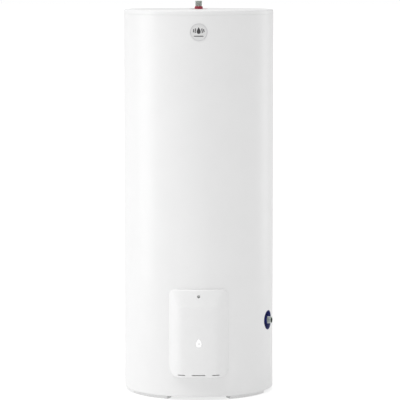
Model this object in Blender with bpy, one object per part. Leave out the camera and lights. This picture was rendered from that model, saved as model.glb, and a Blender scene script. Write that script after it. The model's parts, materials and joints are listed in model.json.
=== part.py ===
"""Floor-standing electric tank water heater of about 250 litres, as an assembly of separate parts.

Metres, +Z up, floor at z = 0, front towards -Y. Every part is placed around the tank's own axis,
an empty that stands a little behind the origin, so that the origin is the middle of the footprint.
Run with: blender --background --python part.py
"""

import math

import bmesh
import bpy
from mathutils import Matrix, Vector

# ---- Driving dimensions ----------------------------------------------------------------------
JACKET_R = 0.2875  # outer radius of the white casing
SHEET = 0.001  # casing sheet thickness
GAP = 0.0003  # running gap between two parts that touch
RIM_Z = 0.013  # height of the casing's lower rim above the floor
TOP_Z = 1.473  # flat top of the heater
LID_SKIRT = 0.018  # height of the lid's visible side

TANK_R = 0.250  # outer radius of the pressure vessel
TANK_WALL = 0.0025
TANK_LOW_Z = 0.110  # where the lower head meets the cylinder
TANK_HIGH_Z = 1.360  # where the upper head meets the cylinder
HEAD_RISE = 0.070  # height of each domed head

PIPE_R = 0.0132  # 3/4 inch nipples
PIPE_BORE_R = 0.0100
HOT_PIPE_TOP = TOP_Z + 0.031
COLD_ANGLE = math.radians(68)  # from the front towards +X
COLD_Z = 0.283
COLD_REACH = 0.302  # nipple's end from the tank axis
COLLAR_R = 0.0370  # coloured collar round each nipple
COLLAR_DEPTH = 0.024
HUB_R = 0.0165

FOOT_ANGLE = math.radians(45)  # each foot's middle, from the front or the rear
FOOT_HALF = math.radians(19.6)
FOOT_OUTER_R = 0.278
FOOT_INNER_R = 0.241

COVER_PROUD = 0.027  # how far the access cover stands out of the casing
COVER_LOW_Z = 0.091
COVER_HIGH_Z = 0.424
COVER_HALF = 0.1140  # half its width, measured along the casing's curve
COVER_FLANK = 0.0520  # width of each sloping side
COVER_BROW = 0.065  # height of the sloping top
COVER_BROW_DROP = 0.011  # how much nearer the casing it is at its upper edge
COVER_BROW_TWIST = 0.12  # how steeply the brow's corners turn back
COVER_LIP = 0.0025  # edge thickness where a flank meets the casing
COVER_WALL = 0.003
COVER_LOW_CORNER = 0.036
COVER_HIGH_CORNER = 0.014
SLOT_Z = 0.1000  # middle height of the three vents
SLOT_HEIGHT = 0.0065
SCREW_Z = 0.399
DROP_Z = 0.2246
DROP_SIZE = (0.024, 0.034)

BADGE_Z = 1.392
BADGE_R = 0.0325

OPENING_HALF = 0.085  # service opening in the casing
OPENING_LOW_Z = 0.131
OPENING_HIGH_Z = 0.385
LINER_ZS = (0.1100, 0.4120)  # moulded liner behind the opening
LINER_HALF = 0.0880
LINER_WALL = 0.0015
FLANGE_Z = 0.225  # axis of the heating flange
FLANGE_R = 0.065
NECK_BORE_R = 0.050
NECK_FACE = 0.268  # neck's front face, from the tank axis
BOLT_CIRCLE_R = 0.0575

ROUND_BIG = 60  # facets round the casing
ROUND_TANK = 36
ROUND_MID = 24
ROUND_SMALL = 12
ROUND_HOLE = 8

AXIS_Y = COVER_PROUD / 2  # the tank's axis behind the middle of the footprint

FACING_FRONT = (math.pi / 2, 0, 0)  # turns a part's own +Z towards the front
FACING_COLD = (math.pi / 2, 0, COLD_ANGLE)

# ---- Scene and helpers -----------------------------------------------------------------------
for old in list(bpy.data.objects):
    bpy.data.objects.remove(old, do_unlink=True)

tank_axis = bpy.data.objects.new("tank_axis", None)
bpy.context.scene.collection.objects.link(tank_axis)
tank_axis.location = (0, AXIS_Y, 0)


def finish(name, colour, roughness, metallic=0.0):
    """A material with a plain Principled shader."""
    made = bpy.data.materials.new(name)
    made.use_nodes = True
    shader = made.node_tree.nodes["Principled BSDF"]
    shader.inputs["Base Color"].default_value = (*colour, 1)
    shader.inputs["Roughness"].default_value = roughness
    shader.inputs["Metallic"].default_value = metallic
    return made


WHITE_PAINT = finish("white_paint", (0.88, 0.88, 0.87), 0.30)
WHITE_PLASTIC = finish("white_plastic", (0.88, 0.88, 0.88), 0.35)
GALVANISED = finish("galvanised_steel", (0.50, 0.52, 0.50), 0.40, 1.0)
BLACK_STEEL = finish("black_steel", (0.10, 0.10, 0.11), 0.60, 0.8)
RED_PLASTIC = finish("red_plastic", (0.55, 0.03, 0.05), 0.40)
BLUE_PLASTIC = finish("blue_plastic", (0.05, 0.07, 0.40), 0.40)
FOAM = finish("foam", (0.85, 0.78, 0.55), 0.90)
RUBBER = finish("rubber", (0.03, 0.03, 0.03), 0.70)
CERAMIC = finish("ceramic", (0.80, 0.76, 0.68), 0.60)
BRASS = finish("brass", (0.72, 0.53, 0.25), 0.30, 1.0)
MAGNESIUM = finish("magnesium", (0.62, 0.62, 0.60), 0.50, 1.0)
BAKELITE = finish("bakelite", (0.06, 0.06, 0.065), 0.45)
BOARD_GREEN = finish("board_green", (0.03, 0.22, 0.10), 0.45)
SILVER = finish("silver_badge", (0.78, 0.78, 0.80), 0.25, 0.6)
LAMP_WHITE = finish("lamp_white", (0.95, 0.95, 0.95), 0.25)
LIVE_BROWN = finish("live_brown", (0.22, 0.09, 0.04), 0.45)
NEUTRAL_BLUE = finish("neutral_blue", (0.04, 0.12, 0.45), 0.45)
EARTH_GREEN = finish("earth_green", (0.10, 0.38, 0.08), 0.45)


def place(obj, at, turned_by):
    """Sets an object in the heater, measured from the tank's axis."""
    bpy.context.scene.collection.objects.link(obj)
    obj.parent = tank_axis
    obj.location = at
    obj.rotation_euler = turned_by
    return obj


def part(name, shape, material, at=(0, 0, 0), turned_by=(0, 0, 0)):
    """Makes one named part out of a bmesh, with its faces pointing out."""
    bmesh.ops.remove_doubles(shape, verts=shape.verts, dist=1e-6)
    bmesh.ops.recalc_face_normals(shape, faces=shape.faces)
    mesh = bpy.data.meshes.new(name)
    shape.to_mesh(mesh)
    shape.free()
    mesh.shade_smooth()
    mesh.set_sharp_from_angle(angle=math.radians(30))
    mesh.materials.append(material)
    return place(bpy.data.objects.new(name, mesh), at, turned_by)


def copies(name, shape, material, places, turned_by=(0, 0, 0)):
    """The same part at several places, each one its own object on a shared mesh."""
    first = part(f"{name}_1", shape, material, places[0], turned_by)
    for number, at in enumerate(places[1:], start=2):
        place(bpy.data.objects.new(f"{name}_{number}", first.data), at, turned_by)


def tool(name, shape, at=(0, 0, 0), turned_by=(0, 0, 0)):
    """A cutter: it shapes other parts and isn't one itself."""
    obj = part(name, shape, WHITE_PLASTIC, at, turned_by)
    obj.hide_render = True
    obj.display_type = "WIRE"
    return obj


def combine(obj, other, operation="DIFFERENCE"):
    modifier = obj.modifiers.new(f"{operation.lower()}_{other.name}", "BOOLEAN")
    modifier.operation = operation
    modifier.object = other
    return obj


def turned(profile, segments):
    """A solid of revolution about Z. A profile that starts and ends on the axis is left open there."""
    shape = bmesh.new()
    points = [shape.verts.new((radius, 0, z)) for radius, z in profile]
    on_axis = profile[0][0] == 0 and profile[-1][0] == 0
    pairs = list(zip(points, points[1:])) + ([] if on_axis else [(points[-1], points[0])])
    edges = [shape.edges.new(pair) for pair in pairs]
    bmesh.ops.spin(
        shape,
        geom=points + edges,
        cent=(0, 0, 0),
        axis=(0, 0, 1),
        dvec=(0, 0, 0),
        angle=2 * math.pi,
        steps=segments,
        use_merge=True,
        use_duplicate=False,
    )
    bmesh.ops.remove_doubles(shape, verts=shape.verts, dist=1e-6)
    return shape


def disc(radius, low, high, segments=ROUND_MID):
    """A cylinder with flat ends, standing on Z between two heights."""
    shape = extruded(round_points(radius, segments), high - low)
    bmesh.ops.translate(shape, verts=shape.verts, vec=(0, 0, low))
    return shape


def ring(outer, inner, low, high, segments=ROUND_MID):
    return turned([(inner, low), (outer, low), (outer, high), (inner, high)], segments)


def block(low, high, bevel=0.0):
    """A box between two corners, with its edges softened by the bevel."""
    shape = bmesh.new()
    size = Vector(high) - Vector(low)
    middle = (Vector(high) + Vector(low)) / 2
    matrix = Matrix.Translation(middle) @ Matrix.Diagonal((*size, 1))
    bmesh.ops.create_cube(shape, size=1, matrix=matrix)
    if bevel:
        bmesh.ops.bevel(
            shape,
            geom=list(shape.edges),
            offset=bevel,
            segments=1,
            profile=0.5,
            affect="EDGES",
        )
    return shape


def extruded(outline, depth):
    """An outline in XY pushed along +Z."""
    shape = bmesh.new()
    face = shape.faces.new([shape.verts.new((x, y, 0)) for x, y in outline])
    pushed = bmesh.ops.extrude_face_region(shape, geom=[face])
    moved = [item for item in pushed["geom"] if isinstance(item, bmesh.types.BMVert)]
    bmesh.ops.translate(shape, verts=moved, vec=(0, 0, depth))
    return shape


def add_to(shape, other, at=(0, 0, 0)):
    """Adds a copy of another shape, as a separate solid, and frees it."""
    mesh = bpy.data.meshes.new("copied")
    other.to_mesh(mesh)
    other.free()
    mesh.transform(Matrix.Translation(at))
    shape.from_mesh(mesh)
    bpy.data.meshes.remove(mesh)


def round_points(radius, count, start=0.0):
    """Points evenly round a circle."""
    angles = [start + 2 * math.pi * step / count for step in range(count)]
    return [(radius * math.cos(angle), radius * math.sin(angle)) for angle in angles]


def fastener(head_r, head_h, shank_r, shank_l, flats=6):
    """A bolt or screw along Z, its head's underside at z = 0. Ten flats stand for a round head."""
    count = flats
    rings = [(-shank_l, shank_r), (0, shank_r), (0, head_r), (head_h, head_r)]
    shape = bmesh.new()
    loops = []
    for z, radius in rings:
        loops.append([shape.verts.new((x, y, z)) for x, y in round_points(radius, count)])
    for lower, upper in zip(loops, loops[1:]):
        for step in range(count):
            after = (step + 1) % count
            shape.faces.new((lower[step], lower[after], upper[after], upper[step]))
    shape.faces.new(list(reversed(loops[0])))
    shape.faces.new(loops[-1])
    return shape


def front(x, z, out):
    """A point on the front, by how far it lies out of the tank's axis."""
    return (x, -out, z)


def head_height(radius, rise, at):
    """Height of an elliptical head above its rim, at this distance from the axis."""
    return rise * math.sqrt(max(0.0, 1 - (at / radius) ** 2))


HEAD_STEPS = (1.0, 0.97, 0.88, 0.70, 0.40)  # shares of the radius, rim to middle


# ---- Casing ----------------------------------------------------------------------------------
def rounded_opening(half, low, high, corner, steps=4):
    """An upright opening in XZ with round corners, as points."""
    points = []
    corners = ((half, high, 0), (-half, high, 1), (-half, low, 2), (half, low, 3))
    for x, z, quarter in corners:
        centre = (x - math.copysign(corner, x), z - math.copysign(corner, z - (low + high) / 2))
        for step in range(steps + 1):
            angle = math.pi / 2 * (quarter + step / steps)
            points.append((centre[0] + corner * math.cos(angle), centre[1] + corner * math.sin(angle)))
    return points


def make_jacket():
    lid_seam = TOP_Z - LID_SKIRT
    jacket = part("jacket", ring(JACKET_R, JACKET_R - SHEET, RIM_Z, lid_seam, ROUND_BIG), WHITE_PAINT)
    opening = extruded(rounded_opening(OPENING_HALF, OPENING_LOW_Z, OPENING_HIGH_Z, 0.012), 0.08)
    # the outline lies in XY: standing it up leaves x as it is, makes y the height, and cuts forwards
    combine(jacket, tool("cut_service_opening", opening, front(0, 0, 0.23), FACING_FRONT))
    collar_hole = disc(COLLAR_R + 0.0005, 0.25, 0.32)
    combine(jacket, tool("cut_cold_collar", collar_hole, (0, 0, COLD_Z), FACING_COLD))
    screw_hole = disc(0.004, 0.25, 0.32, ROUND_SMALL)
    combine(jacket, tool("cut_screw_hole", screw_hole, (0, 0, SCREW_Z), FACING_FRONT))
    for side in (-1, 1):
        low = front(side * PEG_X - 0.005, PEG_Z - 0.004, 0.32)
        high = front(side * PEG_X + 0.005, PEG_Z + 0.004, 0.25)
        combine(jacket, tool(f"cut_peg_{side}", block(low, high)))


def make_top_cover():
    """A pressed lid: flat top, round shoulder, side flush with the casing and a lip inside it."""
    shoulder = 0.006
    seam = TOP_Z - LID_SKIRT + GAP
    inside = JACKET_R - SHEET - GAP
    arc = [math.pi / 2 * step / 4 for step in range(5)]
    curve = [
        (JACKET_R - shoulder + shoulder * math.cos(a), TOP_Z - shoulder + shoulder * math.sin(a))
        for a in arc
    ]
    under = TOP_Z - 0.0015
    profile = [(inside - 0.0012, seam - 0.011), (inside, seam - 0.011), (inside, seam), (JACKET_R, seam)]
    profile += curve
    profile += [(COLLAR_R + 0.0005, TOP_Z), (COLLAR_R + 0.0005, under)]
    profile += [(JACKET_R - shoulder, under), (inside - 0.0012, TOP_Z - shoulder)]
    part("top_cover", turned(profile, ROUND_BIG), WHITE_PAINT)


def make_base():
    """The pan that closes the casing below, with the ring that carries the tank."""
    edge = JACKET_R - SHEET - GAP
    low, high = RIM_Z + 0.002, RIM_Z + 0.004
    profile = [(0, low), (edge, low), (edge, 0.040), (edge - 0.002, 0.040), (edge - 0.002, high), (0, high)]
    pan = part("base_pan", turned(profile, ROUND_BIG), WHITE_PAINT)
    holes = bmesh.new()
    for x, y in foot_bolt_points():
        add_to(holes, disc(0.0046, low - 0.002, high + 0.002, ROUND_HOLE), (x, y, 0))
    combine(pan, tool("cut_foot_bolts", holes))
    bolt = fastener(0.0065, 0.005, 0.004, high - 0.0050)
    copies("foot_bolt", bolt, GALVANISED, [(x, y, high + GAP) for x, y in foot_bolt_points()])
    skirt_r = 0.2005
    skirt_top = TANK_LOW_Z - head_height(TANK_R, HEAD_RISE, skirt_r - TANK_WALL) - 0.0006
    skirt = ring(skirt_r, skirt_r - TANK_WALL, high + GAP, skirt_top, ROUND_TANK)
    part("support_skirt", skirt, BLACK_STEEL)


def foot_bolt_points():
    """One bolt over each foot, as points in XY round the tank's axis."""
    middle_r = (FOOT_OUTER_R + FOOT_INNER_R) / 2
    return [(middle_r * math.sin(a), -middle_r * math.cos(a)) for a in FOOT_CENTRES.values()]


FOOT_CENTRES = {
    "foot_front_left": -FOOT_ANGLE,
    "foot_front_right": FOOT_ANGLE,
    "foot_rear_right": math.pi - FOOT_ANGLE,
    "foot_rear_left": math.pi + FOOT_ANGLE,
}


def make_feet():
    """Four curved feet, each a sector that follows the casing, with blind holes for its bolts."""
    steps = 8
    height = RIM_Z + 0.002 - GAP
    bolt_holes = bmesh.new()
    for x, y in foot_bolt_points():
        add_to(bolt_holes, disc(0.0046, 0.0045, 0.03, ROUND_HOLE), (x, y, 0))
    cutter = tool("cut_bolt_holes", bolt_holes)
    angles = [FOOT_HALF * (2 * step / steps - 1) for step in range(steps + 1)]
    outline = [(FOOT_OUTER_R * math.sin(a), -FOOT_OUTER_R * math.cos(a)) for a in angles]
    outline += [(FOOT_INNER_R * math.sin(a), -FOOT_INNER_R * math.cos(a)) for a in reversed(angles)]
    for name, centre in FOOT_CENTRES.items():
        foot = part(name, extruded(outline, height), WHITE_PLASTIC, turned_by=(0, 0, centre))
        combine(foot, cutter)


def make_badge():
    """A thin round badge that follows the casing."""
    inner = JACKET_R + GAP
    shell = ring(inner + 0.0015, inner, BADGE_Z - 0.06, BADGE_Z + 0.06, ROUND_BIG * 2)
    badge = part("round_badge", shell, SILVER)
    cookie = tool("keep_badge", disc(BADGE_R, 0.27, 0.31, ROUND_MID), (0, 0, BADGE_Z), FACING_FRONT)
    combine(badge, cookie, "INTERSECT")


# ---- Pressure vessel and its insulation --------------------------------------------------------
def head_profile(offset, start_r=0.0):
    """Points of a head's outline from rim to middle, this far outside the tank's outer surface."""
    radius, rise = TANK_R + offset, HEAD_RISE + offset
    shares = [share for share in HEAD_STEPS if share * radius > start_r + 0.005]
    points = [(share * radius, head_height(radius, rise, share * radius)) for share in shares]
    return points + [(start_r, head_height(radius, rise, start_r))]


def make_tank():
    """The welded pressure vessel: cylinder, two heads and the neck that the heating flange bolts to."""
    hot_hole = PIPE_R + GAP
    low, high = TANK_LOW_Z, TANK_HIGH_Z
    outside = [(r, low - z) for r, z in reversed(head_profile(0))]
    outside += [(r, high + z) for r, z in head_profile(0, hot_hole)]
    inside = [(r, low - z) for r, z in reversed(head_profile(-TANK_WALL))]
    inside += [(r, high + z) for r, z in head_profile(-TANK_WALL, hot_hole)]
    vessel = part("tank_vessel", turned(outside + list(reversed(inside)), ROUND_TANK), BLACK_STEEL)
    at = (0, 0, FLANGE_Z)
    neck = disc(FLANGE_R, 0.2385, NECK_FACE)
    combine(vessel, tool("add_flange_neck", neck, at, FACING_FRONT), "UNION")
    combine(vessel, tool("cut_flange_port", disc(NECK_BORE_R, 0.2, 0.3), at, FACING_FRONT))
    combine(vessel, tool("cut_neck_bolts", bolt_holes(0.0044, NECK_FACE - 0.014, 0.29), at, FACING_FRONT))
    cold_hole = disc(PIPE_R + GAP, 0.2, 0.3, ROUND_MID)
    combine(vessel, tool("cut_cold_port", cold_hole, (0, 0, COLD_Z), FACING_COLD))


def make_insulation():
    """Foam that fills the space between tank and casing, and a pad under the lower head."""
    pan_top = RIM_Z + 0.004
    skirt_clear, low, lip_low = 0.2010, pan_top + 0.007, TOP_Z - LID_SKIRT - 0.0112
    wide, at_lip, at_pan = 0.2856, 0.2842, 0.2836
    well_r, well_z = COLLAR_R + 0.0008, TOP_Z - COLLAR_DEPTH - 0.001
    pipe_clear = PIPE_R + 0.0005
    profile = [(skirt_clear, low), (at_pan, low), (at_pan, 0.0405), (wide, 0.0405), (wide, lip_low)]
    profile += [(at_lip, lip_low), (at_lip, TOP_Z - 0.0070), (at_lip - 0.006, TOP_Z - 0.0020)]
    profile += [(well_r, TOP_Z - 0.0020), (well_r, well_z), (pipe_clear, well_z)]
    over = [(r, TANK_HIGH_Z + z) for r, z in head_profile(2 * GAP, pipe_clear)]
    profile += list(reversed(over))
    under = [(r, TANK_LOW_Z - z) for r, z in head_profile(2 * GAP) if r > skirt_clear]
    profile += under
    profile += [(skirt_clear, TANK_LOW_Z - head_height(TANK_R, HEAD_RISE, skirt_clear) - 0.001)]
    foam = part("insulation_foam", turned(profile, ROUND_TANK), FOAM)
    side = LINER_HALF + 0.0005
    recess = block(front(-side, LINER_ZS[0] - 0.0005, 0.31), front(side, LINER_ZS[1] + 0.0005, 0.18))
    combine(foam, tool("cut_recess", recess))
    collar = disc(COLLAR_R + 0.001, 0.2875 - COLLAR_DEPTH - 0.001, 0.31)
    combine(foam, tool("cut_collar_well", collar, (0, 0, COLD_Z), FACING_COLD))
    pipe = disc(pipe_clear, 0.2, 0.31, ROUND_SMALL)
    combine(foam, tool("cut_pipe_well", pipe, (0, 0, COLD_Z), FACING_COLD))
    pad_r = 0.1972
    dome = [(r, TANK_LOW_Z - z) for r, z in head_profile(0.001) if r < pad_r]
    edge_z = TANK_LOW_Z - head_height(TANK_R, HEAD_RISE, pad_r) - 0.002
    pad = [(0, pan_top + GAP), (pad_r, pan_top + GAP), (pad_r, edge_z), *dome]
    part("bottom_insulation_pad", turned(pad, ROUND_TANK), FOAM)


# ---- Water connections -------------------------------------------------------------------------
def collar_profile(hub_top, rim):
    """A funnel-shaped collar round a nipple, with its middle hub. Heights are from the casing's skin."""
    bore = PIPE_R + GAP
    floor = -COLLAR_DEPTH
    return [
        (bore, floor),
        (COLLAR_R, floor),
        (COLLAR_R, rim),
        (COLLAR_R - 0.0018, rim),
        (COLLAR_R - 0.0070, floor + 0.002),
        (HUB_R + 0.0020, floor + 0.002),
        (HUB_R, hub_top),
        (bore, hub_top),
    ]


def make_connections():
    hot = ring(PIPE_R, PIPE_BORE_R, TANK_HIGH_Z + 0.035, HOT_PIPE_TOP)
    part("hot_outlet_pipe", hot, GALVANISED)
    part("hot_collar", turned(collar_profile(0.010, 0), ROUND_MID), RED_PLASTIC, (0, 0, TOP_Z))
    along = (math.sin(COLD_ANGLE), -math.cos(COLD_ANGLE))
    cold = ring(PIPE_R, PIPE_BORE_R, 0.190, COLD_REACH)
    part("cold_inlet_pipe", cold, GALVANISED, (0, 0, COLD_Z), FACING_COLD)
    at_skin = (JACKET_R * along[0], JACKET_R * along[1], COLD_Z)
    collar = turned(collar_profile(0.0, 0.004), ROUND_MID)
    blue = part("cold_collar", collar, BLUE_PLASTIC, at_skin, FACING_COLD)
    skin = tool("keep_inside_skin", disc(JACKET_R + 0.0004, COLD_Z - 0.06, COLD_Z + 0.06, ROUND_BIG * 2))
    combine(blue, skin, "INTERSECT")
    cap = [(0, 0.150), (0.0175, 0.150), (0.0175, 0.2050), (PIPE_R + GAP, 0.2050), (PIPE_R + GAP, 0.1800)]
    cap += [(0, 0.1800)]
    diffuser = part("inlet_diffuser", turned(cap, ROUND_MID), WHITE_PLASTIC, (0, 0, COLD_Z), FACING_COLD)
    windows = bmesh.new()
    add_to(windows, block((-0.03, -0.006, 0.181), (0.03, 0.006, 0.188)))
    combine(diffuser, tool("cut_diffuser_windows", windows, (0, 0, COLD_Z), FACING_COLD))


# ---- Heating flange ----------------------------------------------------------------------------
PLATE_FACE = NECK_FACE + 2 * GAP + 0.0067  # outside face of the plate, from the tank axis
PLATE_THICK = 0.004
SHEATH_DROP = -0.016  # element's axis below the flange's
WELL_AT = (-0.026, 0.020)  # thermometer pocket, from the flange's axis
ANODE_AT = (0.026, 0.020)


def bolt_holes(radius, low, high):
    shape = bmesh.new()
    for x, y in round_points(BOLT_CIRCLE_R, 6):
        add_to(shape, disc(radius, low, high, ROUND_HOLE), (x, y, 0))
    return shape


def make_flange():
    """Gasket, cover plate and bolts on the tank's neck. Own +Z points out of the tank."""
    at = (0, 0, FLANGE_Z)
    gasket_low = NECK_FACE + GAP
    plate_low = PLATE_FACE - PLATE_THICK
    gasket = ring(FLANGE_R - 0.001, NECK_BORE_R, gasket_low, plate_low - GAP)
    gasket = part("flange_gasket", gasket, RUBBER, at, FACING_FRONT)
    plate = disc(FLANGE_R, plate_low, PLATE_FACE, ROUND_MID)
    plate = part("flange_plate", plate, GALVANISED, at, FACING_FRONT)
    through = tool("cut_plate_bolts", bolt_holes(0.0042, 0.262, 0.285), at, FACING_FRONT)
    combine(gasket, through)
    combine(plate, through)
    ports = bmesh.new()
    for (x, z), radius in (((0, SHEATH_DROP), 0.0232), (WELL_AT, 0.0066), (ANODE_AT, 0.0046)):
        add_to(ports, disc(radius, 0.262, 0.285, ROUND_SMALL), (x, z, 0))
    combine(plate, tool("cut_plate_ports", ports, at, FACING_FRONT))
    bolt = fastener(0.0075, 0.0053, 0.0038, PLATE_FACE - NECK_FACE + 0.012)
    places = [front(x, FLANGE_Z + z, PLATE_FACE + GAP) for x, z in round_points(BOLT_CIRCLE_R, 6)]
    copies("flange_bolt", bolt, GALVANISED, places, FACING_FRONT)


def make_element():
    """Sheathed ceramic heating element, thermometer pocket and anode, all carried by the plate."""
    element_at = (0, 0, FLANGE_Z + SHEATH_DROP)
    tip, bore = PLATE_FACE - 0.360, 0.0205
    collar = PLATE_FACE + GAP
    sheath = [(0, tip), (0.016, tip), (0.022, tip + 0.006), (0.022, collar), (0.0255, collar)]
    sheath += [(0.0255, collar + 0.0015), (bore, collar + 0.0015), (bore, tip + 0.004), (0, tip + 0.004)]
    part("element_sheath", turned(sheath, ROUND_MID), GALVANISED, element_at, FACING_FRONT)
    core = [(0, tip + 0.010)]
    beads, body, groove = 6, 0.0195, 0.0180
    pitch = (PLATE_FACE - 0.004 - tip - 0.010) / beads
    for bead in range(beads):
        low = tip + 0.010 + bead * pitch
        neck = low + pitch - 0.003
        core += [(body, low), (body, neck), (groove, neck), (groove, low + pitch)]
    core += [(0.0195, PLATE_FACE), (0.0195, collar + 0.008), (0, collar + 0.008)]
    element = part("ceramic_element", turned(core, ROUND_SMALL), CERAMIC, element_at, FACING_FRONT)
    tags = bmesh.new()
    for x in TAG_XS:
        add_to(tags, block((x - 0.0032, -0.0004, collar + 0.004), (x + 0.0032, 0.0004, collar + 0.018)))
    combine(element, tool("add_element_tags", tags, element_at, FACING_FRONT), "UNION")
    well_at = front(WELL_AT[0], FLANGE_Z + WELL_AT[1], 0)
    tip = PLATE_FACE - 0.300
    pocket = [(0, tip), (0.006, tip), (0.006, collar), (0.0085, collar), (0.0085, collar + 0.0012)]
    pocket += [(0.0045, collar + 0.0012), (0.0045, tip + 0.0015), (0, tip + 0.0015)]
    part("probe_pocket", turned(pocket, ROUND_SMALL), GALVANISED, well_at, FACING_FRONT)
    probe = disc(0.0035, tip + 0.004, THERMOSTAT_BACK - GAP, ROUND_SMALL)
    part("thermostat_probe", probe, BRASS, well_at, FACING_FRONT)
    anode_at = front(ANODE_AT[0], FLANGE_Z + ANODE_AT[1], 0)
    inside = PLATE_FACE - PLATE_THICK - 0.004
    rod = [(0, inside - 0.280), (0.0105, inside - 0.280), (0.0105, inside), (0.004, inside)]
    rod += [(0.004, collar + 0.012), (0, collar + 0.012)]
    part("anode_rod", turned(rod, ROUND_SMALL), MAGNESIUM, anode_at, FACING_FRONT)
    nut = fastener(0.0078, 0.0062, 0.0062, 0.0012)
    nut = part("anode_nut", nut, GALVANISED, front(anode_at[0], anode_at[2], collar + 0.0012), FACING_FRONT)
    clear = tool("cut_nut_bore", disc(0.0044, 0.27, 0.30, ROUND_SMALL), anode_at, FACING_FRONT)
    combine(nut, clear)
    earth_at = front(EARTH_AT[0], FLANGE_Z + EARTH_AT[1], PLATE_FACE + GAP + 0.0034)
    part("earth_screw", fastener(0.0050, 0.0026, 0.0020, 0.0034, flats=10), BRASS, earth_at, FACING_FRONT)


TAG_XS = (-0.0085, 0.0085)
EARTH_AT = (0.038, -0.014)

# ---- Thermostat and controls -------------------------------------------------------------------
THERMOSTAT_BACK = PLATE_FACE + 2 * GAP + 0.0012
THERMOSTAT_FACE = THERMOSTAT_BACK + 0.0235
THERMOSTAT_X = (-0.046, 0.016)
THERMOSTAT_ZS = (0.2305, 0.2660)
DIAL_AT = (-0.029, 0.2485)
RESET_AT = (-0.004, 0.2570)
LAMP_AT = (0.002, 0.2380)
RESET_TRAVEL = 0.0015


def make_thermostat():
    back, face = THERMOSTAT_BACK, THERMOSTAT_FACE
    low = front(THERMOSTAT_X[0], THERMOSTAT_ZS[0], face)
    high = front(THERMOSTAT_X[1], THERMOSTAT_ZS[1], back)
    body = part("thermostat_body", block(low, high, 0.0015), BAKELITE)
    seats = bmesh.new()
    add_to(seats, disc(0.0047, face - 0.006, face + 0.01, ROUND_SMALL), (*DIAL_AT, 0))
    add_to(seats, disc(0.0038, face - 0.006, face + 0.01, ROUND_SMALL), (*RESET_AT, 0))
    combine(body, tool("cut_thermostat_seats", seats, turned_by=FACING_FRONT))
    spindle = [(0, -0.005), (0.0043, -0.005), (0.0043, GAP), (0.011, GAP), (0.0105, 0.0050), (0, 0.0050)]
    dial_at = front(*DIAL_AT, face)
    dial = part("thermostat_dial", turned(spindle, ROUND_MID), LAMP_WHITE, dial_at, FACING_FRONT)
    pointer = tool("cut_pointer", block((-0.0008, 0.001, 0.0035), (0.0008, 0.0095, 0.0065)))
    pointer.parent = dial
    combine(dial, pointer)
    button = [(0, -0.0040), (0.0034, -0.0040), (0.0034, 0.0020), (0.0030, 0.0025), (0, 0.0025)]
    part("reset_button", turned(button, ROUND_SMALL), RED_PLASTIC, front(*RESET_AT, face), FACING_FRONT)
    lamp = [(0, GAP), (0.0029, GAP), (0.0029, 0.0012), (0.0025, 0.0012), (0.0025, 0.0032), (0.0016, 0.0048)]
    lamp += [(0, 0.0054)]
    part("indicator_lamp", turned(lamp, ROUND_SMALL), LAMP_WHITE, front(*LAMP_AT, face), FACING_FRONT)


BRACKET_HALF = 0.060
BRACKET_ZS = (0.306, 0.376)
BRACKET_FACE = 0.2712
LINER_BACK = 0.2540
BOARD_FACE = BRACKET_FACE + 0.0056


def make_controls():
    """Hat-shaped bracket over the flange, with the terminal block and circuit board on it."""
    tab = 0.012
    low, high = BRACKET_ZS
    foot, sheet = LINER_BACK + GAP, 0.0012
    outline = [(-foot, low - tab), (-foot - sheet, low - tab), (-foot - sheet, low - sheet)]
    outline += [(-BRACKET_FACE, low - sheet), (-BRACKET_FACE, high + sheet), (-foot - sheet, high + sheet)]
    outline += [(-foot - sheet, high + tab), (-foot, high + tab), (-foot, high)]
    outline += [(-BRACKET_FACE + sheet, high), (-BRACKET_FACE + sheet, low), (-foot, low)]
    shape = extruded(outline, 2 * BRACKET_HALF)
    # own x is the depth and own y the height; own z runs across the heater
    bracket = part("control_bracket", shape, GALVANISED, (-BRACKET_HALF, 0, 0), (math.pi / 2, 0, math.pi / 2))
    holes, places = bmesh.new(), []
    for x, z in ((-0.045, high + tab / 2 + 0.0005), (0.045, high + tab / 2 + 0.0005)):
        add_to(holes, disc(0.0022, 0.250, 0.262, ROUND_HOLE), (x, z, 0))
        places.append(front(x, z, foot + sheet + GAP))
    combine(bracket, tool("cut_bracket_holes", holes, turned_by=FACING_FRONT))
    screw = fastener(0.0036, 0.0022, 0.0018, 0.0012, flats=10)
    copies("bracket_screw", screw, GALVANISED, places, FACING_FRONT)
    base = BRACKET_FACE + GAP
    body = block(front(0.012, 0.316, base + 0.017), front(0.056, 0.350, base), 0.001)
    terminal = part("terminal_block", body, WHITE_PLASTIC)
    wells = bmesh.new()
    for x in TERMINAL_XS:
        add_to(wells, disc(0.0042, base + 0.0105, base + 0.03, ROUND_SMALL), (x, 0.339, 0))
        add_to(wells, block((x - 0.0030, 0.310, base + 0.004), (x + 0.0030, 0.324, base + 0.010)))
    combine(terminal, tool("cut_terminal_wells", wells, turned_by=FACING_FRONT))
    screw = fastener(0.0036, 0.0025, 0.0030, 0.0005, flats=10)
    places = [front(x, 0.339, base + 0.0115) for x in TERMINAL_XS]
    copies("terminal_screw", screw, BRASS, places, FACING_FRONT)
    make_circuit_board(base)


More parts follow.
